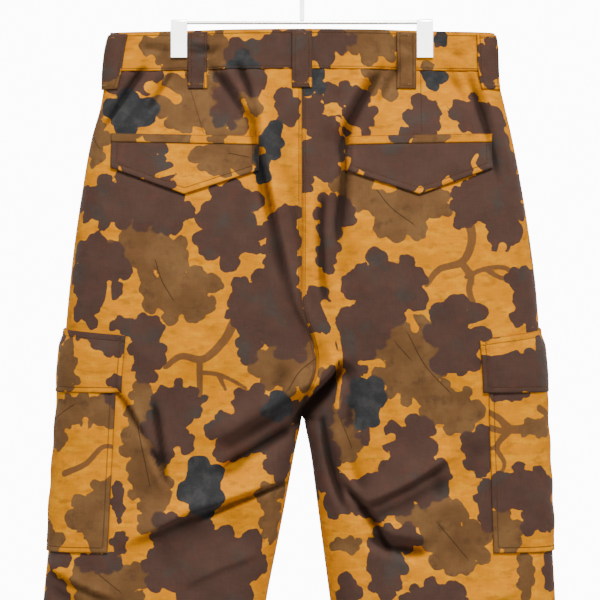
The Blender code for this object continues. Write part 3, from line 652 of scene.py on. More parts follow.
class Stroke(NamedTuple):
    """A drawn line of the print through points in millimetres, with its width at the start and the end."""

    points: Line
    width: float
    width_end: float
    flare: float = 1.0

    def laid(self, side: Side) -> "Stroke":
        """The stroke moved from where it's seen on the hung back to its place on the flat cloth."""
        points = tuple((FORM.flat_x(side, x * MM, drop * MM) / MM, drop) for x, drop in self.points)
        return self._replace(points=points)

    def near(self, points: Array, margin: float = 0.008) -> Array:
        """Which points are in the box round the stroke."""
        known = np.array(self.points) * MM
        return ((points > known.min(axis=0) - margin) & (points < known.max(axis=0) + margin)).all(axis=1)

    def path(self, spots: int = 7) -> Array:
        """A smooth curve through its points.

        Args:
            spots: How many points of the curve lie between two of its own.

        Returns:
            The curve's points, in metres.
        """
        known = np.array(self.points, float)
        ends = np.concatenate((2 * known[:1] - known[1:2], known, 2 * known[-1:] - known[-2:-1]))
        t = np.linspace(0, 1, spots, endpoint=False)[:, None]
        rows = []
        for a, b, c, d in zip(ends, ends[1:], ends[2:], ends[3:]):
            curve = 2 * b + (c - a) * t + (2 * a - 5 * b + 4 * c - d) * t**2 + (3 * b - a - 3 * c + d) * t**3
            rows.append(0.5 * curve)
        return np.concatenate(rows + [known[-1:]]) * MM

    def depth(self, points: Array) -> Array:
        """How far inside the stroke points are.

        Args:
            points: Rows of x and drop on the flat cloth.

        Returns:
            Distances in metres, negative outside.
        """
        path = self.path()
        widths = self.width + (self.width_end - self.width) * np.linspace(0, 1, len(path)) ** self.flare
        radii = widths / 2 * MM
        best = np.full(len(points), -FAR)
        for start, end, radius, radius_end in zip(path, path[1:], radii, radii[1:]):
            along, away, _ = self.beside(points, start, end)
            np.maximum(best, radius + (radius_end - radius) * along - away, out=best)
        return best

    def across(self, points: Array) -> Array:
        """How far points are from the line.

        Args:
            points: Rows of x and drop on the flat cloth.

        Returns:
            Distances in metres, negative on one side of it.
        """
        path = self.path()
        signed = np.full(len(points), FAR)
        for start, end in zip(path, path[1:]):
            _, away, beside = self.beside(points, start, end)
            closer = away < np.abs(signed)
            signed[closer] = beside[closer]
        return signed

    @staticmethod
    def beside(points: Array, start: Array, end: Array) -> tuple[Array, Array, Array]:
        """How points lie beside a straight run.

        Args:
            points: Rows of x and drop.
            start: Where the run starts.
            end: Where it ends.

        Returns:
            The nearest spot's share of the run, the distance to it, and that distance signed by the side.
        """
        run, offset = end - start, points - start
        along = np.clip(offset @ run / max(run @ run, 1e-12), 0, 1)
        away = np.hypot(*(offset - along[:, None] * run).T)
        return along, away, np.copysign(away, run[0] * offset[:, 1] - run[1] * offset[:, 0])


def leaves(ink: Ink, *rows: Chart) -> tuple[Leaf, ...]:
    """Leaves of one ink from rows of x, drop, half across, half along and, where it isn't 0, turn."""
    return tuple(Leaf(ink, *row) for row in rows)


def strokes(width: float, width_end: float, *lines: Line) -> tuple[Stroke, ...]:
    """Strokes of one width."""
    return tuple(Stroke(line, width, width_end) for line in lines)


@dataclass(frozen=True)
class Print:
    """The printed motifs that fall on one cut piece, as charted."""

    leaves: tuple[Leaf, ...] = ()
    inlets: tuple[Stroke, ...] = ()
    twigs: tuple[Stroke, ...] = ()
    ribs: tuple[Stroke, ...] = ()

    def inks(self, points: Array) -> Array:
        """How far inside the inks points are.

        Args:
            points: Rows of x and drop on the flat cloth.

        Returns:
            A row a point, with a distance for each ink.
        """
        found = np.full((len(points), 3), -FAR)
        for leaf in self.leaves:
            size = (max(leaf.across, leaf.along) * 1.3 + 12) * MM
            near = np.abs(points - np.array((leaf.x, leaf.drop)) * MM).max(axis=1) < size
            if near.any():
                column = leaf.ink.value
                found[near, column] = np.maximum(found[near, column], leaf.depth(points[near]))
        for inlet in self.inlets:
            near = inlet.near(points)
            tip = np.hypot(*(points[near] - np.array(inlet.points[0]) * MM).T)
            inner = inlet._replace(flare=2.2).depth(points[near])
            cut = -np.maximum(inner, inlet.width * 0.66 * MM - tip)[:, None]
            found[near, :2] = np.minimum(found[near, :2], cut)
        return found

    def lines(self, points: Array, reach: float = 0.0035) -> Array:
        """How points lie to the twigs and ribs.

        Args:
            points: Rows of x and drop on the flat cloth.
            reach: How near a rib has to be.

        Returns:
            A row a point: how far inside the twigs, across the nearest rib, and near a rib it is.
        """
        found = np.tile((-FAR, FAR, 0.0), (len(points), 1))
        for twig in self.twigs:
            near = twig.near(points)
            found[near, 0] = np.maximum(found[near, 0], twig.depth(points[near]))
        for rib in self.ribs:
            near = rib.near(points)
            found[near, 1] = nearer(rib.across(points[near]), found[near, 1])
        found[:, 2] = reach - np.abs(found[:, 1])
        return found

    def laid(self, side: Side) -> "Print":
        """The print moved from where it's seen on the hung back to its place on the flat cloth."""
        return Print(*(tuple(motif.laid(side) for motif in motifs) for motifs in vars(self).values()))

    def __add__(self, other: "Print") -> "Print":
        """Both prints' motifs on one piece."""
        return Print(*(mine + theirs for mine, theirs in zip(vars(self).values(), vars(other).values())))


def charted(
    side: Side | None = None,
    dark: Sequence[Chart] = (),
    olive: Sequence[Chart] = (),
    slate: Sequence[Chart] = (),
    ribs: Sequence[Line] = (),
    **lines: tuple[Stroke, ...],
) -> Print:
    """A print from charts of its motifs.

    Args:
        side: The leg on whose hung back the motifs are placed, or None where they are on flat cloth.
        dark: The dark leaves' rows.
        olive: The olive leaves' rows.
        slate: The slate leaves' rows.
        ribs: The ribs' lines.
        lines: The inlets and twigs.

    Returns:
        The print on flat cloth.
    """
    motifs = leaves(Ink.DARK, *dark) + leaves(Ink.OLIVE, *olive) + leaves(Ink.SLATE, *slate)
    found = Print(motifs, ribs=strokes(1, 1, *ribs), **lines)
    return found.laid(side) if side else found


def scattered(seed: int, x_range: tuple[float, float], drop_range: tuple[float, float]) -> Print:
    """A print with leaves in uneven rows, for cloth whose layout is free.

    Args:
        seed: The layout's number.
        x_range: Unrolled x from and to, in millimetres.
        drop_range: Drops from and to, in millimetres.

    Returns:
        The print.
    """
    rng = np.random.default_rng(seed)
    found, inlets, twigs, ribs = [], [], [], []
    pitch_x, pitch_drop = 63.0, 60.0
    rows = int((drop_range[1] - drop_range[0]) / pitch_drop) + 1
    columns = int((x_range[1] - x_range[0]) / pitch_x) + 2
    for row, column in product(range(rows), range(columns)):
        x = x_range[0] + (column + 0.5 * (row % 2) + rng.uniform(-0.24, 0.24)) * pitch_x
        drop = drop_range[0] + (row + 0.4 + rng.uniform(-0.24, 0.24)) * pitch_drop
        pick = rng.uniform()
        across, along = rng.uniform(25, 42), rng.uniform(22, 39)
        turn = rng.uniform(-40, 40)
        if pick < 0.47:
            found.append(Leaf(Ink.DARK, x, drop, across, along, turn))
            reach = rng.uniform(0.5, 0.9, 2)
            quarter = (1 if across > 33.5 else -1, 1 if along > 30.5 else -1)
            right, up = reach / np.hypot(*reach) * (across, along) * quarter
            ways = ((0.62, 0.55), (0.95, 1.02), (1.45, 1.40))
            inlets += strokes(5, 13, tuple((x + right * out, drop - up * over) for out, over in ways))
        elif pick < 0.76:
            found.append(Leaf(Ink.OLIVE, x, drop, across, along, turn))
            lean = rng.uniform(-0.4, 0.4)
            top = (x - along * 0.6 * lean, drop - along * 0.6)
            ribs += strokes(1, 1, (top, (x, drop + 2), (x + along * lean, drop + along * 0.7)))
        elif pick < 0.83:
            found.append(Leaf(Ink.SLATE, x, drop, across * 0.6, along * 0.6, turn))
        else:
            middle = (x + rng.uniform(-8, 8), drop + rng.uniform(-8, 8))
            twigs += strokes(5, 8, ((x - 34, drop + 14), (x - 16, drop + 3), middle, (x + 32, drop - 18)))
            twigs += strokes(6, 4, (middle, (x + 6, drop + 20), (x + 18, drop + 34)))
    limit = x_range[1] + 5
    lines = (tuple(line for line in kind if line.points[0][0] < limit) for kind in (inlets, twigs, ribs))
    return Print(tuple(leaf for leaf in found if leaf.x < limit), *lines)


PANEL_PRINTS = {
    (LEFT, BACK): charted(
        LEFT,
        dark=(
            (182, 50, 32, 20), (68, 52, 28, 20), (79, 84, 15, 22), (50, 50, 12, 17), (15, 85, 15, 20),
            (202, 184, 44, 27), (152, 190, 32, 24), (138, 208, 13, 11), (74, 186, 30, 24), (77, 217, 36, 32),
            (12, 193, 13, 8), (9, 223, 9, 15), (24, 234, 19, 42), (214, 257, 31, 34), (227, 292, 17, 21),
            (42, 291, 33, 34), (18, 250, 17, 34), (57, 329, 12, 24), (66, 298, 14, 18), (163, 337, 19, 34),
            (172, 314, 26, 10), (130, 392, 28, 20), (141, 419, 25, 24), (121, 436, 10, 12),
            (146, 446, 12, 15), (53, 392, 20, 14), (60, 422, 35, 25), (22, 446, 23, 29), (127, 530, 33, 23),
            (122, 571, 45, 32), (76, 557, 34, 29), (84, 596, 32, 22), (46, 566, 14, 11), (259, 560, 17, 11),
            (214, 562, 26, 12), (263, 597, 18, 17), (193, 498, 7, 20), (191, 539, 9, 13), (9, 303, 16, 26),
            (20, 330, 18, 16), (8, 404, 26, 14), (74, 446, 20, 12), (168, 166, 32, 18),
        ),
        olive=(
            (98, 76, 54, 38), (218, 116, 14, 30), (161, 234, 39, 28), (154, 211, 10, 12), (129, 279, 40, 29),
            (135, 247, 15, 17), (21, 352, 30, 34), (168, 424, 18, 48), (161, 476, 23, 29), (29, 488, 21, 12),
            (32, 520, 15, 23), (203, 584, 40, 27), (156, 512, 16, 17),
        ),
        slate=(
            (184, 88, 29, 25), (32, 117, 14, 19), (41, 147, 9, 17), (24, 398, 18, 17), (104, 480, 25, 29),
            (100, 496, 15, 18),
        ),
        inlets=strokes(4, 9, ((62, 76), (55, 93), (46, 106)), ((202, 268), (203, 290)))
        + strokes(9, 13, ((133, 73), (146, 64), (162, 60))),
        twigs=strokes(6, 10, ((143, 356), (126, 345), (103, 348), (82, 329), (71, 309)))
        + strokes(7, 6, ((107, 348), (107, 388)))
        + strokes(5, 3.5, ((107, 362), (88, 364), (72, 371), (59, 379)), ((88, 364), (80, 380))),
        ribs=(
            ((153, 246), (147, 265), (135, 286)), ((20, 381), (14, 360), (-4, 344)),
            ((172, 420), (166, 450), (160, 480)), ((222, 104), (214, 126)), ((214, 574), (192, 592)),
        ),
    ) + scattered(11, (45, 330), (640, 1080)),
    (RIGHT, BACK): charted(
        RIGHT,
        dark=(
            (-46, 70, 26, 12), (-60, 92, 17, 20), (-25, 126, 22, 33), (-5, 145, 11, 30), (-7, 86, 16, 17),
            (-131, 91, 20, 24), (-121, 109, 20, 6), (-183, 90, 29, 20), (-203, 111, 15, 22),
            (-211, 176, 34, 44), (-214, 132, 13, 17), (-205, 218, 12, 20), (-172, 184, 15, 24),
            (-32, 197, 18, 22), (-28, 230, 12, 29), (-46, 196, 12, 13), (-88, 276, 40, 40),
            (-66, 318, 22, 30), (-240, 288, 22, 34), (-224, 262, 12, 9), (-164, 324, 32, 38),
            (-54, 334, 20, 40), (-47, 384, 9, 36), (-12, 300, 14, 24), (-22, 286, 8, 14), (-114, 442, 30, 32),
            (-108, 478, 40, 26), (-78, 494, 24, 21), (-55, 494, 22, 20), (-66, 428, 7, 11),
            (-186, 444, 20, 28), (-196, 500, 15, 24), (-14, 450, 26, 46), (-22, 384, 18, 22),
            (-10, 406, 22, 20), (-33, 484, 13, 32), (-97, 539, 27, 17), (-88, 572, 21, 28),
            (-141, 600, 34, 20), (-49, 596, 15, 17), (-262, 573, 11, 23), (-148, 468, 10, 16),
        ),
        olive=(
            (-88, 48, 24, 20), (-56, 170, 23, 21), (-109, 191, 35, 28), (-138, 182, 18, 16),
            (-243, 224, 9, 28), (-104, 332, 34, 26), (-116, 366, 36, 28), (-157, 400, 30, 24),
            (-44, 424, 19, 31), (-136, 511, 34, 18), (-163, 545, 34, 28), (-46, 544, 17, 9),
            (-236, 572, 10, 26), (-14, 364, 13, 8),
        ),
        slate=((-10, 50, 16, 22), (-139, 44, 16, 18), (-68, 392, 20, 30)),
        inlets=strokes(
            4, 9, ((-154, 98), (-148, 78)), ((-186, 206), (-184, 240)), ((-112, 298), (-118, 316)),
            ((-60, 352), (-80, 352)), ((-66, 366), (-84, 378)), ((-38, 96), (-58, 108)),
            ((-216, 82), (-202, 76)), ((-176, 314), (-202, 306)), ((-36, 398), (-35, 340), (-24, 290)),
            ((-66, 442), (-78, 438), (-94, 430)), ((-200, 256), (-210, 230)),
        ),
        twigs=strokes(6, 10, ((-130, 270), (-144, 254), (-168, 246), (-178, 224), (-175, 202)))
        + strokes(8, 6, ((-168, 248), (-177, 262), (-175, 276), (-180, 292)))
        + strokes(
            5, 5, ((-172, 262), (-190, 254), (-210, 252), (-222, 258)),
            ((-192, 254), (-206, 262), (-216, 264)),
        ),
        ribs=(
            ((-78, 170), (-93, 189), (-117, 207)), ((-111, 322), (-129, 355), (-154, 382)),
            ((-98, 331), (-113, 348)), ((-143, 521), (-173, 557)), ((-40, 410), (-52, 440)),
        ),
    ) + scattered(23, (-325, -35), (640, 1080)),
    (LEFT, FRONT): scattered(61, (205, 590), (30, 1080)),
    (RIGHT, FRONT): scattered(67, (-590, -205), (30, 1080)),
}
FLAP_PRINTS = {
    LEFT: charted(
        LEFT,
        dark=((178, 130, 34, 24), (158, 148, 22, 14), (146, 164, 14, 7)),
        olive=((76, 131, 34, 22), (92, 140, 18, 12)),
        slate=((45, 140, 5, 22),),
        inlets=strokes(8, 5, ((124, 128), (132, 148), (152, 156))),
        ribs=(((76, 132), (56, 136)),),
    ),
    RIGHT: charted(
        RIGHT,
        dark=((-84, 126, 48, 40), (-128, 132, 44, 46), (-176, 130, 40, 26)),
        inlets=strokes(9, 4, ((-42, 150), (-50, 138)))
        + strokes(5, 4, ((-184, 150), (-180, 142), (-184, 134)))
        + strokes(5, 7, ((-188, 156), (-160, 166), (-132, 174)), ((-118, 176), (-124, 170))),
    ),
}
WELT_PRINTS = {
    LEFT: charted(LEFT, olive=((190, 114, 18, 12), (142, 116, 24, 12), (89, 116, 9, 7))),
    RIGHT: charted(RIGHT, dark=((-104, 115, 13, 11),), olive=((-134, 115, 20, 11),)),
}
CARGO_FLAP_PRINTS = {
    LEFT: charted(
        LEFT,
        dark=((212, 320, 40, 11), (196, 334, 20, 13), (191, 372, 13, 9), (268, 326, 34, 12)),
        olive=((246, 358, 17, 30), (285, 350, 30, 34)),
        inlets=strokes(5, 8, ((214, 344), (218, 362))),
    ) + scattered(37, (310, 420), (300, 400)),
    RIGHT: charted(
        RIGHT,
        dark=((-226, 362, 38, 26), (-258, 352, 34, 34), (-204, 366, 24, 22), (-196, 322, 12, 6)),
        inlets=strokes(8, 6, ((-176, 338), (-204, 340), (-226, 332), (-240, 322))),
    ) + scattered(41, (-420, -310), (300, 400)),
}
POCKET_PRINTS = {
    LEFT: charted(
        LEFT,
        dark=((270, 496, 9, 12), (200, 386, 8, 14), (300, 440, 26, 30)),
        olive=(
            (228, 402, 40, 19), (256, 424, 14, 18), (216, 512, 24, 33), (204, 532, 20, 24),
            (262, 541, 14, 14), (290, 530, 30, 26),
        ),
        inlets=strokes(5, 8, ((226, 412), (224, 446)))
        + strokes(6, 7, ((232, 534), (232, 556))),
        twigs=strokes(7, 4, ((248, 469), (226, 458), (208, 440), (188, 443)), ((204, 477), (188, 462))),
        ribs=(((238, 396), (262, 420)),),
    ) + scattered(43, (320, 440), (330, 560)),
    RIGHT: charted(
        RIGHT,
        dark=(
            (-232, 486, 36, 28), (-204, 488, 18, 16), (-250, 512, 24, 20), (-214, 385, 24, 8),
            (-284, 430, 24, 34),
        ),
        olive=((-210, 530, 22, 22), (-244, 420, 18, 11), (-292, 520, 28, 30)),
        twigs=strokes(5, 11, ((-190, 400), (-206, 410), (-222, 422), (-256, 414)))
        + strokes(7, 5, ((-196, 420), (-214, 424), (-226, 420)))
        + strokes(7, 3, ((-216, 424), (-204, 440), (-212, 458), (-204, 474)))
        + strokes(5, 3, ((-204, 440), (-192, 444))),
    ) + scattered(47, (-440, -320), (330, 560)),
}
BAND_PRINT = charted(
    dark=((30, 24, 48, 24), (-30, 12, 22, 14), (-24, 30, 14, 13), (-146, 10, 8, 8), (114, 16, 14, 12)),
    olive=((148, 16, 24, 14), (132, 32, 22, 16), (88, 20, 16, 22), (-76, 14, 30, 20), (-134, 38, 8, 8)),
    slate=((62, 39, 17, 16), (-148, 8, 7, 7)),
    inlets=strokes(9, 10, ((46, 6), (66, 2), (78, 4))),
) + scattered(53, (250, 440), (-10, 52)) + scattered(59, (-440, -250), (-10, 52))
LOOP_PRINTS = {
    "belt_loop_side_left": charted(dark=((200, 22, 30, 24),), olive=((200, 56, 24, 13),)),
    "belt_loop_back_left": charted(dark=((112, 30, 18, 40),), inlets=strokes(5, 4, ((100, 48), (102, 62)))),
    "belt_loop_centre_back": charted(dark=((2, 26, 18, 40),), inlets=strokes(7, 5, ((-12, 58), (-8, 54)))),
    "belt_loop_back_right": charted(olive=((-110, 30, 20, 40),)),
    "belt_loop_side_right": charted(
        dark=((-200, 34, 16, 24),),
        inlets=strokes(5, 4, ((-214, 46), (-206, 56))),
    ),
    "belt_loop_front_left": charted(olive=((325, 30, 20, 40),)),
    "belt_loop_front_right": charted(dark=((-325, 20, 20, 22),)),
}
FLY_PRINT = scattered(71, (380, 460), (30, 220))


def linear(colour: str) -> tuple[float, float, float, float]:
    """A web colour such as #DFA03A as linear light with full alpha.

    Args:
        colour: The web colour.

    Returns:
        Red, green, blue and alpha.
    """
    parts = [int(colour[i:i + 2], 16) / 255 for i in (1, 3, 5)]
    red, green, blue = (c / 12.92 if c <= 0.04045 else ((c + 0.055) / 1.055) ** 2.4 for c in parts)
    return red, green, blue, 1.0


Socket = bpy.types.NodeSocket


class ShaderSheet:
    """Adds linked nodes to one shader tree."""

    def __init__(self, tree: bpy.types.ShaderNodeTree) -> None:
        """Keeps the tree that the nodes go into."""
        self.tree = tree

    def add(
        self, kind: str, inputs: dict[str | int, object] | None = None, **settings: object
    ) -> bpy.types.Node:
        """A node.

        Args:
            kind: The node's type name, without ShaderNode.
            inputs: Values, web colours or sockets for its inputs.
            settings: Its own properties.

        Returns:
            The node.
        """
        node = self.tree.nodes.new("ShaderNode" + kind)
        for name, value in settings.items():
            setattr(node, name, value)
        self.fill(node, inputs or {})
        return node

    def fill(self, node: bpy.types.Node, inputs: dict[str | int, object]) -> None:
        """Sets or links a node's inputs.

        Args:
            node: The node.
            inputs: Values, web colours or sockets for its inputs.
        """
        for name, value in inputs.items():
            if isinstance(value, Socket):
                self.tree.links.new(value, node.inputs[name])
            else:
                node.inputs[name].default_value = linear(value) if isinstance(value, str) else value

    def math(self, operation: str, a: object, b: object = 0.0, c: object = 0.0) -> Socket:
        """The result of a Math node."""
        return self.add("Math", {0: a, 1: b, 2: c}, operation=operation).outputs[0]

    def scaled(self, value: object, by: object, plus: object = 0.0) -> Socket:
        """A value multiplied, with something added."""
        return self.math("MULTIPLY_ADD", value, by, plus)

    def where(self, value: Socket, mask: Socket) -> Socket:
        """A value where a mask is over 0, and 0 elsewhere."""
        return self.math("MULTIPLY", value, self.math("GREATER_THAN", mask, 0.0))

    def span(
        self, value: Socket, low: object, high: object, to_low: float = 0.0, to_high: float = 1.0
    ) -> Socket:
        """A value mapped smoothly from one range to another."""
        inputs = {"Value": value, "From Min": low, "From Max": high, "To Min": to_low, "To Max": to_high}
        return self.add("MapRange", inputs, interpolation_type="SMOOTHSTEP").outputs[0]

    def near(self, value: Socket, low: float, high: float) -> Socket:
        """1 up to a low value, falling smoothly to 0 at a high one."""
        return self.math("SUBTRACT", 1.0, self.span(value, low, high))

    def noise(self, vector: Socket, scale: float, detail: float = 2.0, roughness: float = 0.5) -> Socket:
        """Noise from 0 to 1."""
        inputs = {"Vector": vector, "Scale": scale, "Detail": detail, "Roughness": roughness}
        return self.add("TexNoise", inputs).outputs["Fac"]

    def streaks(
        self, vector: Socket, scales: tuple[float, float, float], detail: float, roughness: float
    ) -> Socket:
        """Noise with a scale for each axis."""
        stretched = self.add("VectorMath", {0: vector, 1: scales}, operation="MULTIPLY").outputs[0]
        return self.noise(stretched, 1.0, detail, roughness)

    def mix(self, share: object, a: object, b: object, blend: str = "MIX") -> Socket:
        """A mix of two colours."""
        return self.add("Mix", {0: share, 6: a, 7: b}, data_type="RGBA", blend_type=blend).outputs[2]

    def bump(self, height: Socket, strength: float, distance: float, **under: Socket) -> Socket:
        """A normal bumped by a height, over the Normal under it where there is one."""
        inputs = {"Strength": strength, "Distance": distance, "Height": height, **under}
        return self.add("Bump", inputs).outputs[0]

    def attribute(self, name: str) -> list[Socket]:
        """The three parts of a mesh attribute."""
        source = self.add("Attribute", attribute_name=name, attribute_type="GEOMETRY")
        return list(self.add("SeparateXYZ", {0: source.outputs["Vector"]}).outputs)

    def coordinate(self, name: str) -> Socket:
        """UV or Object coordinates."""
        return self.add("TexCoord").outputs[name]


def new_group(name: str, **outputs: str) -> tuple[ShaderSheet, bpy.types.Node]:
    """An empty shader group.

    Args:
        name: The group's name.
        outputs: Its outputs with their kind, Color or Float.

    Returns:
        The group's sheet and its output node.
    """
    group = bpy.data.node_groups.new(name, "ShaderNodeTree")
    for label, kind in outputs.items():
        group.interface.new_socket(label, in_out="OUTPUT", socket_type="NodeSocket" + kind)
    return ShaderSheet(group), group.nodes.new("NodeGroupOutput")


@dataclass(frozen=True)
class LeafCamouflage:
    """The print's inks, mottled, with crisp edges on the ground and soft ones between inks."""

    ground: str = "#EF9300"
    ground_pale: str = "#FCA408"
    ground_deep: str = "#B7701C"
    dark: str = "#563F36"
    dark_red: str = "#5D3F35"
    dark_grey: str = "#4C4640"
    olive: str = "#745232"
    olive_pale: str = "#84603B"
    olive_deep: str = "#5D422D"
    slate: str = "#363637"
    slate_pale: str = "#464544"
    twig: str = "#855A33"
    rib: str = "#43301F"
    edge: float = 0.00022
    blend: float = 0.0011
    wobble: float = 0.0010

    @staticmethod
    def inked(sheet: ShaderSheet, depth: Socket, soft: Socket | float) -> Socket:
        """How fully an ink covers, from the depth inside its outline and the softness of its edge."""
        return sheet.span(depth, sheet.math("MULTIPLY", soft, -1.0), soft)

    def group(self) -> bpy.types.ShaderNodeTree:
        """The shader group.

        Returns:
            A group that puts out the print's colour and its depth of ink.
        """
        sheet, out = new_group("leaf_camouflage", Color="Color", Ink="Float")
        uv = sheet.coordinate("UV")
        wobble = sheet.scaled(sheet.noise(uv, 240, 2, 0.5), self.wobble, -self.wobble / 2)
        twig, rib, near_rib = sheet.attribute("print_lines")
        dark, olive, slate, twig = (
            sheet.math("ADD", depth, wobble) for depth in (*sheet.attribute("print_inks"), twig)
        )
        in_olive = self.inked(sheet, olive, self.edge)
        in_dark = self.inked(sheet, dark, sheet.scaled(in_olive, self.blend, self.edge))
        on_ink = sheet.math("MAXIMUM", in_dark, in_olive)
        in_slate = self.inked(sheet, slate, sheet.scaled(on_ink, self.blend * 1.4, self.edge))
        in_twig = self.inked(sheet, twig, self.edge * 2)
        on_rib = sheet.where(sheet.near(sheet.math("ABSOLUTE", rib), 0.0003, 0.0009), near_rib)
        on_rib = sheet.math("MULTIPLY", sheet.math("MULTIPLY", on_rib, in_olive), 0.75)

        broad = sheet.noise(uv, 26, 3, 0.55)
        patchy = sheet.noise(uv, 60, 4, 0.6)
        streak = sheet.streaks(uv, (40, 105, 1), 4, 0.60)
        vein = sheet.streaks(uv, (58, 120, 1), 3, 0.50)
        ground = sheet.mix(sheet.span(streak, 0.46, 0.64), self.ground, self.ground_pale)
        ground = sheet.mix(sheet.span(vein, 0.52, 0.72, 0, 0.60), ground, self.ground_deep)
        olive_tone = sheet.mix(sheet.span(broad, 0.38, 0.66), self.olive, self.olive_pale)
        olive_tone = sheet.mix(sheet.span(patchy, 0.52, 0.72, 0, 0.7), olive_tone, self.olive_deep)
        dark_tone = sheet.mix(sheet.span(patchy, 0.50, 0.70), self.dark, self.dark_red)
        dark_tone = sheet.mix(sheet.span(broad, 0.52, 0.70, 0, 0.8), dark_tone, self.dark_grey)
        slate_tone = sheet.mix(sheet.span(patchy, 0.42, 0.66), self.slate, self.slate_pale)

        colour = sheet.mix(in_twig, ground, self.twig)
        inks = ((in_olive, olive_tone), (on_rib, self.rib), (in_dark, dark_tone), (in_slate, slate_tone))
        for share, tone in inks:
            colour = sheet.mix(share, colour, tone)
        sheet.fill(out, {"Color": colour, "Ink": sheet.math("MAXIMUM", on_ink, in_slate)})
        return sheet.tree


@dataclass(frozen=True)
class PlainWeave:
    """Warp and weft threads crossing one over one, with slubs."""

    pitch: float = 0.00062

    def group(self) -> bpy.types.ShaderNodeTree:
        """The shader group.

        Returns:
            A group that puts out the threads' height and their shade.
        """
        sheet, out = new_group("plain_weave", Height="Float", Shade="Float")
        uv = sheet.coordinate("UV")
        split = sheet.add("SeparateXYZ", {0: uv})
        turns = 2 * math.pi / self.pitch
        warp, weft = (
            sheet.math("SINE", sheet.math("MULTIPLY", split.outputs[axis], turns)) for axis in (0, 1)
        )
        slubs = (sheet.streaks(uv, scales, 2, 0.6) for scales in ((900, 50, 1), (50, 900, 1)))
        slub = sheet.math("MULTIPLY", sheet.math("ADD", *slubs), 0.5)
        height = sheet.scaled(sheet.math("MULTIPLY", warp, weft), 0.5, 0.5)
        sheet.fill(out, {"Height": sheet.scaled(slub, 0.8, height), "Shade": sheet.span(slub, 0.35, 0.65)})
        return sheet.tree


@dataclass(frozen=True)
class SewnEdges:
    """A stitch line's groove in the cloth and the puckers beside it, with masks for painted shade in the
    groove and along free edges.
    """

    groove: float = 0.0009
    pucker_reach: float = 0.007

    def group(self) -> bpy.types.ShaderNodeTree:
        """The shader group.

        Returns:
            A group that puts out a height, and masks for painted shade along stitches and along free edges.
        """
        sheet, out = new_group("sewn_edges", Height="Float", Stitch="Float", Edge="Float")
        stitch, edge, near = sheet.attribute("sewing")
        away = sheet.math("ABSOLUTE", stitch)
        line = sheet.where(sheet.near(away, self.groove * 0.2, self.groove), near)
        beside = sheet.where(sheet.near(away, 0.0, self.pucker_reach), near)
        pucker = sheet.math("MULTIPLY", sheet.noise(sheet.coordinate("UV"), 210, 1, 0.5), beside)
        # Mask for painted shade along free edges, where seams and folded edges cast shadow
        rim = sheet.near(edge, 0.0002, 0.0016)
        sheet.fill(out, {"Height": sheet.math("SUBTRACT", pucker, line), "Stitch": line, "Edge": rim})
        return sheet.tree


def new_material(name: str) -> tuple[Material, ShaderSheet, bpy.types.Node]:
    """A node material.

    Args:
        name: Its name.

    Returns:
        The material, its sheet and its Principled shader.
    """
    material = bpy.data.materials.new(name)
    material.use_nodes = True
    return material, ShaderSheet(material.node_tree), material.node_tree.nodes["Principled BSDF"]


@dataclass(frozen=True)
class CottonGroups:
    """The shader groups that every cotton finish uses."""

    print: bpy.types.ShaderNodeTree
    weave: bpy.types.ShaderNodeTree
    sewn: bpy.types.ShaderNodeTree


@dataclass(frozen=True)
class PrintedCotton:
    """Printed cotton, seen from its printed face or its paler reverse."""

    name: str
    reverse: bool = False
    roughness: float = 0.86
    reverse_tint: str = "#C9A46B"
    # Painted shade in the groove along each stitch line
    thread_shade: str = "#4A3423"
    # Painted shade along free edges
    rim: str = "#4E3622"
    # Painted shade in fold troughs and a painted highlight on fold ridges, as shares of the colour
    trough_soil: float = 0.62
    ridge_fade: float = 0.08

    def material(self, groups: CottonGroups) -> Material:
        """The material.

        Args:
            groups: The shared shader groups.

        Returns:
            The material.
        """
        material, sheet, shader = new_material(self.name)
        printed, weave, sewn = (
            sheet.add("Group", node_tree=group).outputs for group in (groups.print, groups.weave, groups.sewn)
        )
        uv = sheet.coordinate("UV")
        colour = sheet.mix(0.62, printed["Color"], self.reverse_tint) if self.reverse else printed["Color"]
        faded = sheet.math("ADD", sheet.span(sheet.noise(uv, 55, 3, 0.6), 0.30, 0.70, -0.06, 0.06), 0.95)
        shade = sheet.scaled(weave["Shade"], 0.10, faded)
        if not self.reverse:
            # Painted shade darkens the colour in fold troughs, and a painted highlight lightens it on fold
            # ridges
            trough, ridge, _ = sheet.attribute("cloth_folds")
            painted_fold_light = sheet.scaled(ridge, self.ridge_fade, sheet.scaled(trough, -self.trough_soil, 1.0))
            shade = sheet.math("MULTIPLY", shade, painted_fold_light)
        grey = sheet.add("CombineXYZ", {0: shade, 1: shade, 2: shade}).outputs[0]
        colour = sheet.mix(1.0, colour, grey, "MULTIPLY")
        if not self.reverse:
            # Painted shade in the stitch grooves
            colour = sheet.mix(sheet.math("MULTIPLY", sewn["Stitch"], 0.45), colour, self.thread_shade)
            # Painted shade along free edges
            colour = sheet.mix(sheet.math("MULTIPLY", sewn["Edge"], 0.60), colour, self.rim)
        threads = sheet.bump(weave["Height"], 0.25, 0.00012)
        seams = sheet.bump(sewn["Height"], 0.6, 0.0006, Normal=threads)
        sheet.fill(shader, {
            "Base Color": colour,
            "Roughness": sheet.scaled(printed["Ink"], -0.05, self.roughness),
            "Normal": sheet.bump(sheet.noise(uv, 95, 4, 0.62), 0.7, 0.0011, Normal=seams),
            "Specular IOR Level": 0.04,
            "Sheen Weight": 0.02,
            "Sheen Roughness": 0.6,
        })
        return material


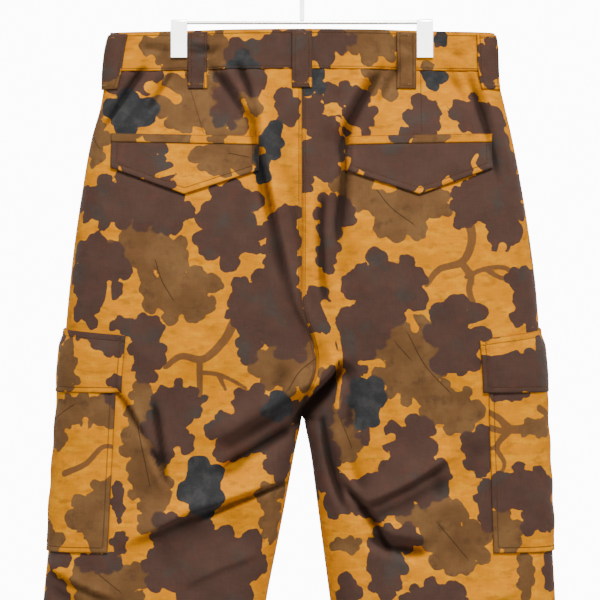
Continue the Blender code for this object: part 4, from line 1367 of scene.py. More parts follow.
@dataclass(frozen=True)
class SewingThread:
    """Spun polyester thread, with its twist."""

    name: str
    colour: str = "#5A3F26"
    pale: str = "#7C5A36"

    def material(self) -> Material:
        """The material.

        Returns:
            The material.
        """
        material, sheet, shader = new_material(self.name)
        place = sheet.coordinate("Object")
        wave = {"Vector": place, "Scale": 900.0, "Distortion": 3.0}
        twist = sheet.add("TexWave", wave, bands_direction="DIAGONAL").outputs["Fac"]
        sheet.fill(shader, {
            "Base Color": sheet.mix(sheet.noise(place, 400, 2), self.colour, self.pale),
            "Normal": sheet.bump(twist, 0.4, 0.00008),
            "Roughness": 0.62,
            "Specular IOR Level": 0.06,
        })
        return material


@dataclass(frozen=True)
class PolishedSteel:
    """Chromed steel with fine rubbing marks and faint smears."""

    name: str
    colour: str = "#E4E4E1"
    smear: str = "#CFCFCB"

    def material(self) -> Material:
        """The material.

        Returns:
            The material.
        """
        material, sheet, shader = new_material(self.name)
        place = sheet.coordinate("Object")
        smears = sheet.noise(place, 90, 3, 0.55)
        rubs = sheet.streaks(place, (1400, 1400, 60), 2, 0.5)
        sheet.fill(shader, {
            "Base Color": sheet.mix(sheet.span(smears, 0.45, 0.75, 0, 0.5), self.colour, self.smear),
            "Roughness": sheet.scaled(smears, 0.16, sheet.scaled(rubs, 0.06, 0.10)),
            "Normal": sheet.bump(rubs, 0.08, 0.0001),
            "Metallic": 1.0,
        })
        return material


@dataclass(frozen=True)
class HornPlastic:
    """Dark brown plastic with cloudy horn streaks."""

    name: str
    colour: str = "#3A2A1E"
    streak: str = "#6A4C32"

    def material(self) -> Material:
        """The material.

        Returns:
            The material.
        """
        material, sheet, shader = new_material(self.name)
        place = sheet.coordinate("Object")
        cloud = sheet.streaks(place, (260, 260, 90), 4, 0.6)
        sheet.fill(shader, {
            "Base Color": sheet.mix(sheet.span(cloud, 0.42, 0.68), self.colour, self.streak),
            "Roughness": sheet.scaled(sheet.noise(place, 700, 2), 0.18, 0.32),
            "Specular IOR Level": 0.12,
        })
        return material


@dataclass(frozen=True)
class Finishes:
    """Every finish of the pants and the hanger."""

    cotton: dict[Cotton, Material]
    reverse: Material
    thread: Material
    tack: Material
    steel: Material
    button: Material

    @classmethod
    def made(cls) -> "Finishes":
        """Builds the shader groups once and all the materials from them.

        Returns:
            The finishes.
        """
        groups = CottonGroups(LeafCamouflage().group(), PlainWeave().group(), SewnEdges().group())
        names = {
            Cotton.LEG: "leg_cotton", Cotton.BAND: "waistband_cotton", Cotton.TRIM: "pocket_and_loop_cotton",
        }
        return cls(
            cotton={cut: PrintedCotton(name).material(groups) for cut, name in names.items()},
            reverse=PrintedCotton("cotton_reverse", reverse=True).material(groups),
            thread=SewingThread("brown_thread").material(),
            tack=SewingThread("tack_thread", "#B98A4C", "#D8B070").material(),
            steel=PolishedSteel("hanger_steel").material(),
            button=HornPlastic("button_horn").material(),
        )


def meshed(shape: bmesh.types.BMesh, name: str, *materials: Material) -> bpy.types.Mesh:
    """A smooth mesh from a bmesh, which is then freed.

    Args:
        shape: The bmesh.
        name: The mesh's name.
        materials: Its materials.

    Returns:
        The mesh.
    """
    mesh = bpy.data.meshes.new(name)
    shape.to_mesh(mesh)
    shape.free()
    mesh.shade_smooth()
    for material in materials:
        mesh.materials.append(material)
    return mesh


def finished(mesh: bpy.types.Mesh, name: str, slot: str, *nodes: str) -> Thing:
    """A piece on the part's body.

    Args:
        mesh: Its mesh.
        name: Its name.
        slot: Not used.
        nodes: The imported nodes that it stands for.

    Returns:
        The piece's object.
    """
    thing = bpy.data.objects.new(name, mesh)
    bpy.context.scene.collection.objects.link(thing)
    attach(thing, BODY)
    if nodes:
        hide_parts(*nodes)
    logging.info("%s: %d faces", name, len(mesh.polygons))
    return thing


def modified(thing: Thing, name: str, kind: str, **settings: object) -> None:
    """Adds a modifier.

    Args:
        thing: The object.
        name: The modifier's name.
        kind: Its type.
        settings: Its properties.
    """
    modifier = thing.modifiers.new(name, kind)
    for key, value in settings.items():
        setattr(modifier, key, value)


def spaced(length: float, cell: float, rim: Sequence[float] = ()) -> Array:
    """Places along a length, about a cell apart, with closer ones at both ends.

    Args:
        length: The real length.
        cell: The usual spacing.
        rim: Distances of extra lines from each end.

    Returns:
        Their shares of the length, from 0 to 1.
    """
    start = rim[-1] if rim else 0.0
    count = max(2, round((length - 2 * start) / cell))
    middle = np.linspace(start, length - start, count + 1)
    ends = np.array([0.0, *rim[:-1]]) if rim else np.array([])
    return np.concatenate((ends, middle, length - ends[::-1])) / length


def averaged(values: Array, axis: int, reach: int) -> Array:
    """A grid's running mean along one axis.

    Args:
        values: The grid.
        axis: The axis.
        reach: How many cells each way are taken in.

    Returns:
        The means.
    """
    wide = np.pad(values, [(reach, reach) if a == axis else (0, 0) for a in range(2)], mode="edge")
    total = np.insert(np.cumsum(wide, axis=axis), 0, 0, axis=axis)
    count = 2 * reach + 1
    ends = np.arange(count, total.shape[axis])
    return (np.take(total, ends, axis) - np.take(total, ends - count, axis)) / count


@dataclass
class ClothGrid:
    """A grid of points on the form for one cut piece: arrays that widen to one shape, rows downward."""

    side: Array | int
    s: Array
    drop: Array
    lift: Array
    stitch: Array | float = FAR
    edge: Array | float = FAR

    def __post_init__(self) -> None:
        """Widens every array to the grid's shape."""
        names = ("side", "s", "drop", "lift", "stitch", "edge")
        wide = np.broadcast_arrays(*(np.asarray(getattr(self, name), float) for name in names))
        for name, values in zip(names, wide):
            setattr(self, name, values)
        self.shape = self.s.shape
        self.flat = [values.ravel() for values in wide]

    def points(self, form: HungForm, extra: float = 0.0) -> Array:
        """The grid's places, moved outward by extra."""
        side, s, drop, lift = self.flat[:4]
        return form.place(side, s, drop, lift + extra).reshape(*self.shape, 3)

    def folds(self, form: HungForm, reach: float = 0.0085, depth: float = 0.0036) -> Array:
        """How far each point lies down in a trough and up on a ridge, from 0 to 1: the mask for painted shade
        in troughs and a painted highlight on ridges.

        Args:
            form: The hung form.
            reach: How far round a point the cloth's usual level is taken.
            depth: The depth of a full trough.

        Returns:
            A row a point: the trough's share, the ridge's share and 0.
        """
        side, s, drop = self.flat[:3]
        rise = form.risen(side, s, drop, form.looked_up(side, s, drop)[:, 0]).reshape(self.shape)
        level = rise
        for axis, places in enumerate((self.drop, self.s)):
            cell = max(float(np.median(np.abs(np.diff(places, axis=axis)))), 0.0005)
            for _ in range(2):
                level = averaged(level, axis, max(1, round(reach / cell)))
        below = ((level - rise) / depth).ravel()
        return np.stack((ramp(below), ramp(-below), np.zeros(rise.size)), axis=1)

    def cut(self, form: HungForm) -> Array:
        """The points on the flat cloth: unrolled x and drop."""
        return np.stack((form.looked_up(*self.flat[:3])[:, 5], self.flat[2]), axis=1)

    def sewing(self) -> Array:
        """The signed distance to the nearest stitch line, the edge's distance, and nearness to a stitch."""
        stitch, edge = self.flat[4:]
        return np.stack((stitch, edge, 0.006 - np.abs(stitch)), axis=1)


@dataclass
class Tailor:
    """Makes cloth pieces and stitches on a form."""

    form: HungForm
    finishes: Finishes
    stitch_pitch: float = 0.0031
    stitch_length: float = 0.0024
    stitch_radius: float = 0.00026

    def piece(self, node: str, grid: ClothGrid, motifs: Print, wall: float, cotton: Cotton) -> Thing:
        """One cut piece as a thin shell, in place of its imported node.

        Args:
            node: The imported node.
            grid: Where the piece's outer face lies.
            motifs: The print on it.
            wall: Its thickness, inward.
            cotton: Its finish.

        Returns:
            The piece's object.
        """
        rows, columns = grid.shape
        shape = bmesh.new()
        bmesh.ops.create_grid(shape, x_segments=columns - 1, y_segments=rows - 1, size=0.5)
        for edge in shape.edges:
            edge.smooth = not edge.is_boundary
        mesh = meshed(shape, node + "_cloth", self.finishes.cotton[cotton], self.finishes.reverse)
        flat = np.empty(len(mesh.vertices) * 3, np.float32)
        mesh.vertices.foreach_get("co", flat)
        flat = flat.reshape(-1, 3)
        column = np.rint((flat[:, 0] + 0.5) * (columns - 1)).astype(int)
        row = np.rint((0.5 - flat[:, 1]) * (rows - 1)).astype(int)
        points = grid.points(self.form)
        mesh.vertices.foreach_set("co", points[row, column].astype(np.float32).ravel())
        middle = points[rows // 2, columns // 2]
        across = points[rows // 2, columns // 2 + 1] - middle
        down = points[rows // 2 + 1, columns // 2] - middle
        outward = grid.points(self.form, 0.001)[rows // 2, columns // 2] - middle
        if np.dot(np.cross(down, across), outward) < 0:
            mesh.flip_normals()
        cut, order = grid.cut(self.form), row * columns + column
        # The fold mask carries painted shade for troughs and a painted highlight for ridges
        marks = {
            "print_inks": motifs.inks(cut), "print_lines": motifs.lines(cut),
            "sewing": grid.sewing(), "cloth_folds": grid.folds(self.form),
        }
        for name, values in marks.items():
            attribute = mesh.attributes.new(name, "FLOAT_VECTOR", "POINT")
            attribute.data.foreach_set("vector", values[order].astype(np.float32).ravel())
        corners = np.empty(len(mesh.loops), np.int32)
        mesh.loops.foreach_get("vertex_index", corners)
        layer = mesh.uv_layers.new(name="cut")
        layer.data.foreach_set("uv", (cut[order] * (1, -1))[corners].astype(np.float32).ravel())
        thing = finished(mesh, node + "_cloth", cotton.value, node)
        inward = {"thickness": wall, "offset": -1.0, "material_offset": 1, "material_offset_rim": 0}
        modified(thing, "cloth", "SOLIDIFY", **inward)
        return thing

    def stitches(
        self, name: str, seams: Sequence[Array], pitch: float | None = None, thread: Material | None = None
    ) -> Thing:
        """Thread stitches along seam lines.

        Args:
            name: The object's name.
            seams: Lines of points just on the cloth, each with the outward normal, in rows of six.
            pitch: The distance between stitches, or None for the usual one.
            thread: The thread, or None for the brown one.

        Returns:
            The stitches as one object.
        """
        spots = [self.stitch_places(seam, pitch or self.stitch_pitch) for seam in seams]
        centres, turns = (np.concatenate(parts) for parts in zip(*spots))
        bead = bmesh.new()
        bmesh.ops.create_uvsphere(bead, u_segments=6, v_segments=4, radius=1.0)
        one = meshed(bead, "one_stitch")
        base = np.array([vert.co for vert in one.vertices])
        shape = bmesh.new()
        for _ in centres:
            shape.from_mesh(one)
        bpy.data.meshes.remove(one)
        mesh = meshed(shape, name, thread or self.finishes.thread)
        places = centres[:, None, :] + np.einsum("nij,kj->nki", turns, base)
        mesh.vertices.foreach_set("co", places.astype(np.float32).ravel())
        return finished(mesh, name, Cotton.TRIM.value)

    def stitch_places(self, seam: Array, pitch: float) -> tuple[Array, Array]:
        """Where the stitches of a seam lie.

        Args:
            seam: Its line, in rows of six.
            pitch: The distance between stitches.

        Returns:
            Their middles, and the matrices that turn and stretch a unit ball there.
        """
        along = np.concatenate(([0.0], np.cumsum(np.linalg.norm(np.diff(seam[:, :3], axis=0), axis=1))))
        count = max(1, int(along[-1] / pitch))
        middles = (np.arange(count) + 0.5) * along[-1] / count
        behind, ahead = (
            np.stack([np.interp(middles + step, along, seam[:, axis]) for axis in range(6)], axis=1)
            for step in (-self.stitch_length / 2, self.stitch_length / 2)
        )
        run = ahead[:, :3] - behind[:, :3]
        run /= np.linalg.norm(run, axis=1)[:, None]
        across = np.cross(behind[:, 3:], run)
        across /= np.linalg.norm(across, axis=1)[:, None]
        out = np.cross(run, across)
        centres = (behind[:, :3] + ahead[:, :3]) / 2 + out * self.stitch_radius * 0.35
        sizes = np.array((self.stitch_radius, self.stitch_radius * 0.8, self.stitch_length / 2))
        return centres, np.stack((across, out, run), axis=2) * sizes

    def seam_line(
        self, side: Array | int, s: Array | float, drop: Array | float, lift: Array | float
    ) -> Array:
        """A line on the cloth.

        Args:
            side: 1 or -1 for each point, or for all.
            s: Distances from the outseam.
            drop: Drops below the waist's top edge.
            lift: Distances outward from the form.

        Returns:
            Its points with their outward normals, in rows of six.
        """
        side, s, drop, lift = (np.array(a, float).ravel() for a in np.broadcast_arrays(side, s, drop, lift))
        points = self.form.place(side, s, drop, lift)
        return np.concatenate((points, self.form.place(side, s, drop, lift + 0.001) - points), axis=1)


def round_edge(places: Array, low: Array | float, tops: Sequence[float], count: int) -> tuple[Array, Array]:
    """A line down one side of a piece, along its low edge and up its other side.

    Args:
        places: Places across the low edge.
        low: The drops there.
        tops: The drops at which the two sides start.
        count: How many points each side has.

    Returns:
        Places across, and drops.
    """
    low = np.broadcast_to(low, places.shape)
    across = np.concatenate((np.full(count, places[0]), places, np.full(count, places[-1])))
    drops = (np.linspace(tops[0], low[0], count), low, np.linspace(low[-1], tops[1], count))
    return across, np.concatenate(drops)


@dataclass
class Needlework:
    """A group of pieces that a tailor cuts and sews on the hung form."""

    tailor: Tailor

    @property
    def form(self) -> HungForm:
        """The form that the cloth hangs on."""
        return self.tailor.form

    def at_x(self, side: Side, face: Face, x: Array, drop: Array) -> Array:
        """Distances from the outseam of points seen at x and drop."""
        places = zip(x.ravel(), drop.ravel())
        return np.array([self.form.distance_at_x(side, face, a, b) for a, b in places]).reshape(x.shape)


@dataclass
class LegPanels(Needlework):
    """The four leg panels, from the waistband to the hems."""

    wall: float = 0.0009
    cell: dict[Face, float] = field(default_factory=lambda: {BACK: 0.0025, FRONT: 0.0034})
    low_cell: float = 0.0042
    fine_to_drop: float = 0.625
    usual_width: float = 0.290
    hem: float = 0.026
    above_hem: float = 0.004
    seam_dip: float = 0.0008
    seam_dip_width: float = 0.0014
    hem_fold: float = 0.0006
    hem_fold_ramp: tuple[float, float] = (0.002, -0.001)
    hem_groove: tuple[float, float] = (0.0004, 0.0012)
    top_tuck: tuple[float, float] = (0.0006, 0.0015)
    inseam_stitch: float = 0.0060
    centre_stitch: float = 0.0032
    crotch_bulk: float = 0.03
    flat_length: float = 1.045
    taper_share: float = 0.94
    dart_end_drop: float = 0.110
    darts: dict[Side, tuple[float, float]] = field(
        default_factory=lambda: {LEFT: (0.1250, 0.1040), RIGHT: (0.1262, 0.1262)}
    )

    def build(self) -> None:
        """Makes the panels and their stitches."""
        for (side, face), motifs in PANEL_PRINTS.items():
            grid = self.grid(side, face)
            thing = self.tailor.piece(f"{side.word}_{face.word}_panel", grid, motifs, self.wall, Cotton.LEG)
            steps = np.linalg.norm(np.diff(grid.points(self.form), axis=1), axis=2)
        self.sew()

    def drops(self, face: Face) -> Array:
        """The drops of a panel's rows.

        Args:
            face: The panel's face.

        Returns:
            The drops.
        """
        form, cell = self.form, self.cell[face]
        top = form.waistband_height + 0.0001
        upper = np.linspace(top, self.fine_to_drop, round((self.fine_to_drop - top) / cell) + 1)
        hem_start = form.hem_drop - self.hem - self.above_hem
        count = round((hem_start - self.fine_to_drop) / self.low_cell)
        lower = np.linspace(self.fine_to_drop, hem_start, count + 1)
        return np.concatenate((upper, lower[1:], np.linspace(hem_start, form.hem_drop, 16)[1:]))

    def grid(self, side: Side, face: Face) -> ClothGrid:
        """One panel's grid, dipped along its seams and doubled at its hem.

        Args:
            side: The leg.
            face: The face.

        Returns:
            The grid.
        """
        form = self.form
        drop = self.drops(face)[:, None]
        reach = np.array([form.reach(side, face, row) for row in drop[:, 0]])[:, None]
        s = spaced(self.usual_width, self.cell[face], (0.0010, 0.0024)) * reach
        inner = reach - s
        over_hem = drop - (form.hem_drop - self.hem)
        (groove, groove_width), (tuck, tuck_width) = self.hem_groove, self.top_tuck
        fold = self.hem_fold * ramp(over_hem, *self.hem_fold_ramp) - groove * bell(over_hem, groove_width)
        tuck = tuck * bell(drop - form.waistband_height, tuck_width)
        dip = bell(s, self.seam_dip_width) + bell(inner, self.seam_dip_width)
        stitch = inner - np.where(drop > form.crotch_drop, self.inseam_stitch, self.centre_stitch)
        for line in [over_hem, inner - 0.0003] + ([self.dart(side, s, drop)] if face is BACK else []):
            stitch = nearer(line, stitch)
        edge = np.minimum(form.hem_drop - drop, drop - form.waistband_height)
        return ClothGrid(side, face.value * s, drop, fold - tuck - self.seam_dip * dip, stitch, edge)

    def dart(self, side: Side, s: Array, drop: Array) -> Array:
        """Distances from the dart's seam, which runs from the waistband to the welt.

        Args:
            side: The leg.
            s: Distances from the outseam.
            drop: One drop for each row of them.

        Returns:
            Signed distances.
        """
        spots = np.broadcast_arrays(float(side), s, drop)
        x = self.form.looked_up(*(a.ravel() for a in spots))[:, 0].reshape(s.shape)
        (top, end), height = self.darts[side], self.form.waistband_height
        share = (drop - height) / (self.dart_end_drop - height)
        away = x - (top + (end - top) * share)
        return np.where(share < 1, away, np.hypot(away, drop - self.dart_end_drop))

    def sew(self) -> None:
        """The stitches beside the centre seams, the inseams and along the hems."""
        form = self.form
        hem_drop = form.hem_drop - self.hem
        centre = np.linspace(form.waistband_height + 0.001, form.crotch_drop - self.crotch_bulk, 150)
        inseam = np.linspace(form.crotch_drop + self.crotch_bulk, hem_drop, 200)
        seams = []
        for side, face in product(Side, Face):
            for drops, inset in ((centre, self.centre_stitch), (inseam, self.inseam_stitch)):
                s = np.array([form.reach(side, face, drop) for drop in drops]) - inset
                seams.append(self.tailor.seam_line(side, face.value * s, drops, 0.0))
            s = np.linspace(0.0, form.reach(side, face, hem_drop), 120)
            seams.append(self.tailor.seam_line(side, face.value * s, hem_drop, 0.0))
        self.tailor.stitches("leg_seam_stitches", seams)


@dataclass
class Waistband(Needlework):
    """The waistband, one strip whose end laps over the other at the front."""

    wall: float = 0.0018
    proud: float = 0.0007
    usual_reach: float = 0.21
    tab_length: float = 0.032
    tab_ramp: float = 0.016
    cell: float = 0.0022
    stitch_inset: float = 0.0045
    low_inset: float = 0.0022
    relief: Relief = Relief(0.0007, 0.0016, 0.0003, 0.0012)

    def path(self) -> list[tuple[Side, Face, float, float, float]]:
        """The strip's columns, from one end to the other.

        Returns:
            Rows of side, face, share of the reach, extra distance and lift.
        """
        shares = spaced(self.usual_reach, self.cell)
        before_tab = shares[1:][shares[1:] < 1 - self.tab_ramp / self.usual_reach]
        runs = (
            (RIGHT, FRONT, shares[::-1]), (RIGHT, BACK, shares[1:]), (LEFT, BACK, shares[-2::-1]),
            (LEFT, FRONT, before_tab),
        )
        columns = [(side, face, share, 0.0, 0.0) for side, face, run in runs for share in run]
        lift = self.wall + self.proud
        for share in np.linspace(0, 1, 8):
            columns.append((LEFT, FRONT, 1.0, -self.tab_ramp * (1 - share), lift * float(ramp(share))))
        for share in np.linspace(0.04, 1, 16):
            columns.append((RIGHT, FRONT, 1.0, -self.tab_length * share, lift))
        return columns

    def strip(self, drops: Sequence[float]) -> tuple[Array, Array, Array]:
        """The columns at several drops.

        Args:
            drops: The drops.

        Returns:
            Sides, distances from the outseam and lifts, with a row a drop.
        """
        columns = self.path()
        s = np.array([
            [
                face.value * (share * self.form.reach(side, face, drop) + extra)
                for side, face, share, extra, _ in columns
            ]
            for drop in drops
        ])
        side, lift = (
            np.broadcast_to([float(column[part]) for column in columns], s.shape) for part in (0, 4)
        )
        return side, s, lift

    def build(self) -> None:
        """Makes the band and its two rows of stitches."""
        height = self.form.waistband_height
        drop = (spaced(height, self.cell, (*FOLDED, 0.0018)) * height)[:, None]
        side, s, ride = self.strip(drop[:, 0])
        insets = (self.stitch_inset, height - self.low_inset)
        lift = self.proud + ride - self.relief.sunk(inside(drop, height), drop - self.stitch_inset)
        grid = ClothGrid(side, s, drop, lift, nearer(*(drop - inset for inset in insets)), drop)
        thing = self.tailor.piece("waistband", grid, BAND_PRINT, self.wall, Cotton.BAND)
        seams = []
        for inset in insets:
            side, s, ride = self.strip([inset])
            seams.append(self.tailor.seam_line(side, s, inset, ride + self.proud - 0.0002))
        self.tailor.stitches("waistband_stitches", seams)


@dataclass
class BeltLoops(Needlework):
    """Seven belt loops, tacked above and below the waistband and standing off between."""

    width: float = 0.0215
    top_drop: float = 0.002
    length: float = 0.060
    wall: float = 0.0014
    stand: float = 0.0018
    clear: float = 0.0005
    over_band: float = 0.0007
    over_band_ramp: float = 0.012
    back_x: float = 0.1105
    front_x: float = 0.093
    side_start: float = 0.002
    side_lean: dict[Side, float] = field(default_factory=lambda: {LEFT: 0.0, RIGHT: 0.005})
    cell: float = 0.0016
    stitch_inset: float = 0.0035
    relief: Relief = Relief(0.0007, 0.0012, 0.00025, 0.0010)
    tack_pitch: float = 0.0016
    tack_rows: float = 0.0006

    def build(self) -> None:
        """Makes the loops, their edge stitches and their tacks."""
        self.across = spaced(self.width, self.cell, FOLDED) * self.width
        self.loop("belt_loop_centre_back", BACK, 0.0)
        for side in Side:
            self.loop(f"belt_loop_back_{side.word}", BACK, side * self.back_x)
            self.loop(f"belt_loop_front_{side.word}", FRONT, side * self.front_x)
            self.loop(f"belt_loop_side_{side.word}", BACK, None, side)

    def columns(
        self, face: Face, centre: float | None, side: Side | None, drop: float
    ) -> list[tuple[int, float]]:
        """The loop's lengthwise lines at a drop.

        Args:
            face: The face that it is on.
            centre: Its middle's x, or None at an outseam.
            side: The outseam's leg.
            drop: The drop.

        Returns:
            Each line's side and distance from the outseam.
        """
        if centre is None:
            start = self.side_start + self.side_lean[side] * drop / self.length
            return [(int(side), start + offset) for offset in self.across]
        found = []
        for x in centre - self.width / 2 + self.across:
            leg = LEFT if x >= 0 else RIGHT
            found.append((int(leg), self.form.distance_at_x(leg, face, abs(x), drop)))
        return found

    def loop(self, name: str, face: Face, centre: float | None, side: Side | None = None) -> None:
        """One belt loop.

        Args:
            name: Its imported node.
            face: The face that it is on.
            centre: Its middle's x, or None at an outseam.
            side: The outseam's leg.
        """
        shares = spaced(self.length, self.cell, FOLDED)
        drops = self.top_drop + shares * self.length
        legs, s = np.array([self.columns(face, centre, side, drop) for drop in drops]).transpose(2, 0, 1)
        proud = self.over_band * (1 - ramp(drops, self.over_band_ramp, self.form.waistband_height))
        lift = proud + self.clear + self.stand * np.sin(np.pi * shares) ** 0.5 + self.wall
        edge = inside(self.across, self.width)
        end = inside(shares, 1) * self.length
        sunk = self.relief.sunk(np.minimum(edge, end[:, None]), edge - self.stitch_inset)
        insets = (self.stitch_inset, self.width - self.stitch_inset)
        stitch = nearer(*(self.across - inset for inset in insets))
        grid = ClothGrid(legs, s, drops[:, None], lift[:, None] - sunk, stitch, edge)
        thing = self.tailor.piece(name, grid, LOOP_PRINTS[name], self.wall, Cotton.TRIM)
        self.tacks(name, grid)
        lines = []
        for inset in insets:
            s, drop, lift = (
                np.array([np.interp(inset, self.across, row) for row in values])
                for values in (grid.s, grid.drop, grid.lift)
            )
            column = int(np.interp(inset, self.across, np.arange(len(self.across))))
            lines.append(self.tailor.seam_line(grid.side[:, column], s, drop, lift))
        self.tailor.stitches(name + "_stitches", lines)

    def tacks(self, name: str, grid: ClothGrid, margin: int = 4) -> None:
        """The dense zigzag tacks at both ends of a loop, with their tails.

        Args:
            name: The loop's node.
            grid: Its grid.
            margin: How many lines in from its edges the tacks lie.
        """
        ends = []
        for row, shift in product((margin, grid.shape[0] - 1 - margin), (-self.tack_rows, self.tack_rows)):
            side, s, drop, lift = (a[row, margin:-margin] for a in (grid.side, grid.s, grid.drop, grid.lift))
            ends.append(self.tailor.seam_line(side, s, drop + shift, lift))
        tails = [line[:4] for line in ends[::2]]
        self.tailor.stitches(name + "_tacks", ends, self.tack_pitch)
        self.tailor.stitches(name + "_thread_tails", tails, self.tack_pitch, self.tailor.finishes.tack)


@dataclass
class BackPockets(Needlework):
    """Welts and pointed flaps of the back pockets."""

    inner_x: float = 0.0455
    width: float = 0.1555
    welt_drop: float = 0.1105
    welt_height: float = 0.0092
    welt_slope: float = 0.018
    welt_wall: float = 0.0016
    flap_side: float = 0.0270
    flap_point: float = 0.0540
    flap_wall: float = 0.0014
    flap_gap: float = 0.0016
    puff: tuple[float, float] = (0.0004, 0.010)
    edge_puff: tuple[float, float] = (0.0003, 0.0022)
    edge_puff_inset: float = 0.003
    lay: float = 0.0005
    cell: float = 0.0020
    welt_cell: float = 0.0012
    stitch_inset: float = 0.0062
    welt_relief: Relief = Relief(0.0009, 0.0020)
    flap_relief: Relief = Relief(0.0009, 0.0016, 0.0004, 0.0013)

    def build(self) -> None:
        """Makes both pockets' welts and flaps."""
        self.slant = math.cos(math.atan(2 * (self.flap_point - self.flap_side) / self.width))
        self.across = spaced(self.width, self.cell, FOLDED) * self.width
        for side in Side:
            self.welt(side)
            self.flap(side)

    def welt_top(self, x: Array) -> Array:
        """The drop of the welt's upper edge."""
        return self.welt_drop + self.welt_slope * (self.inner_x + self.width - x)

    def flap_depth(self, x: Array) -> Array:
        """The flap's height at x."""
        point = 1 - np.abs(x - (self.inner_x + self.width / 2)) / (self.width / 2)
        return self.flap_side + (self.flap_point - self.flap_side) * point

    def welt(self, side: Side) -> None:
        """One welt: a narrow folded strip above the flap.

        Args:
            side: The leg.
        """
        down = (spaced(self.welt_height, self.welt_cell, FOLDED) * self.welt_height)[:, None]
        x = self.inner_x + np.tile(self.across, (len(down), 1))
        drop = self.welt_top(x) + down
        edge = np.minimum(inside(self.across, self.width), inside(down, self.welt_height))
        lift = self.lay + self.welt_wall - self.welt_relief.sunk(edge)
        grid = ClothGrid(side, self.at_x(side, BACK, x, drop), drop, lift, edge=edge)
        name = f"{side.word}_back_pocket_welt"
        thing = self.tailor.piece(name, grid, WELT_PRINTS[side], self.welt_wall, Cotton.TRIM)
        flat, area = (self.width, 2 * self.welt_height), self.width * self.welt_height

    def flap(self, side: Side) -> None:
        """One flap, sewn in under the welt, its point standing a little off the seat.

        Args:
            side: The leg.
        """
        down = spaced(self.flap_side, self.cell * 0.55, FOLDED)[:, None]
        x = self.inner_x + np.tile(self.across, (len(down), 1))
        depth = self.flap_depth(x)
        drop = self.welt_top(x) + self.welt_height + self.form.piece_gap + down * depth
        free = np.minimum(inside(self.across, self.width), (1 - down) * depth * self.slant)
        edge = np.minimum(free, down * depth)
        stitch = free - self.stitch_inset
        (high, reach), (edge_high, edge_reach) = self.puff, self.edge_puff
        puff = high * ramp(stitch, reach) + edge_high * bell(free - self.edge_puff_inset, edge_reach)
        lift = self.lay + self.flap_wall + self.flap_gap * ramp(down * 1.4) + puff
        lift = lift - self.flap_relief.sunk(edge, stitch)
        grid = ClothGrid(side, self.at_x(side, BACK, x, drop), drop, lift, stitch, edge)
        name = f"{side.word}_back_pocket_flap"
        thing = self.tailor.piece(name, grid, FLAP_PRINTS[side], self.flap_wall, Cotton.TRIM)
        flat, area = (self.width, self.flap_point), self.width * (self.flap_side + self.flap_point) / 2
        self.stitch_flap(side, name)

    def stitch_flap(self, side: Side, name: str) -> None:
        """The row of stitches inside the flap's free edges.

        Args:
            side: The leg.
            name: The flap's node.
        """
        places = self.inner_x + np.linspace(self.stitch_inset, self.width - self.stitch_inset, 90)
        sewn_edge = self.welt_top(places) + self.welt_height
        low = sewn_edge + self.flap_depth(places) - self.stitch_inset / self.slant
        x, drop = round_edge(places, low, sewn_edge[[0, -1]] + 0.001, 12)
        lift = self.lay + self.flap_wall + self.flap_gap - 0.0003
        line = self.tailor.seam_line(side, self.at_x(side, BACK, x, drop), drop, lift)
        self.tailor.stitches(name + "_stitches", [line])


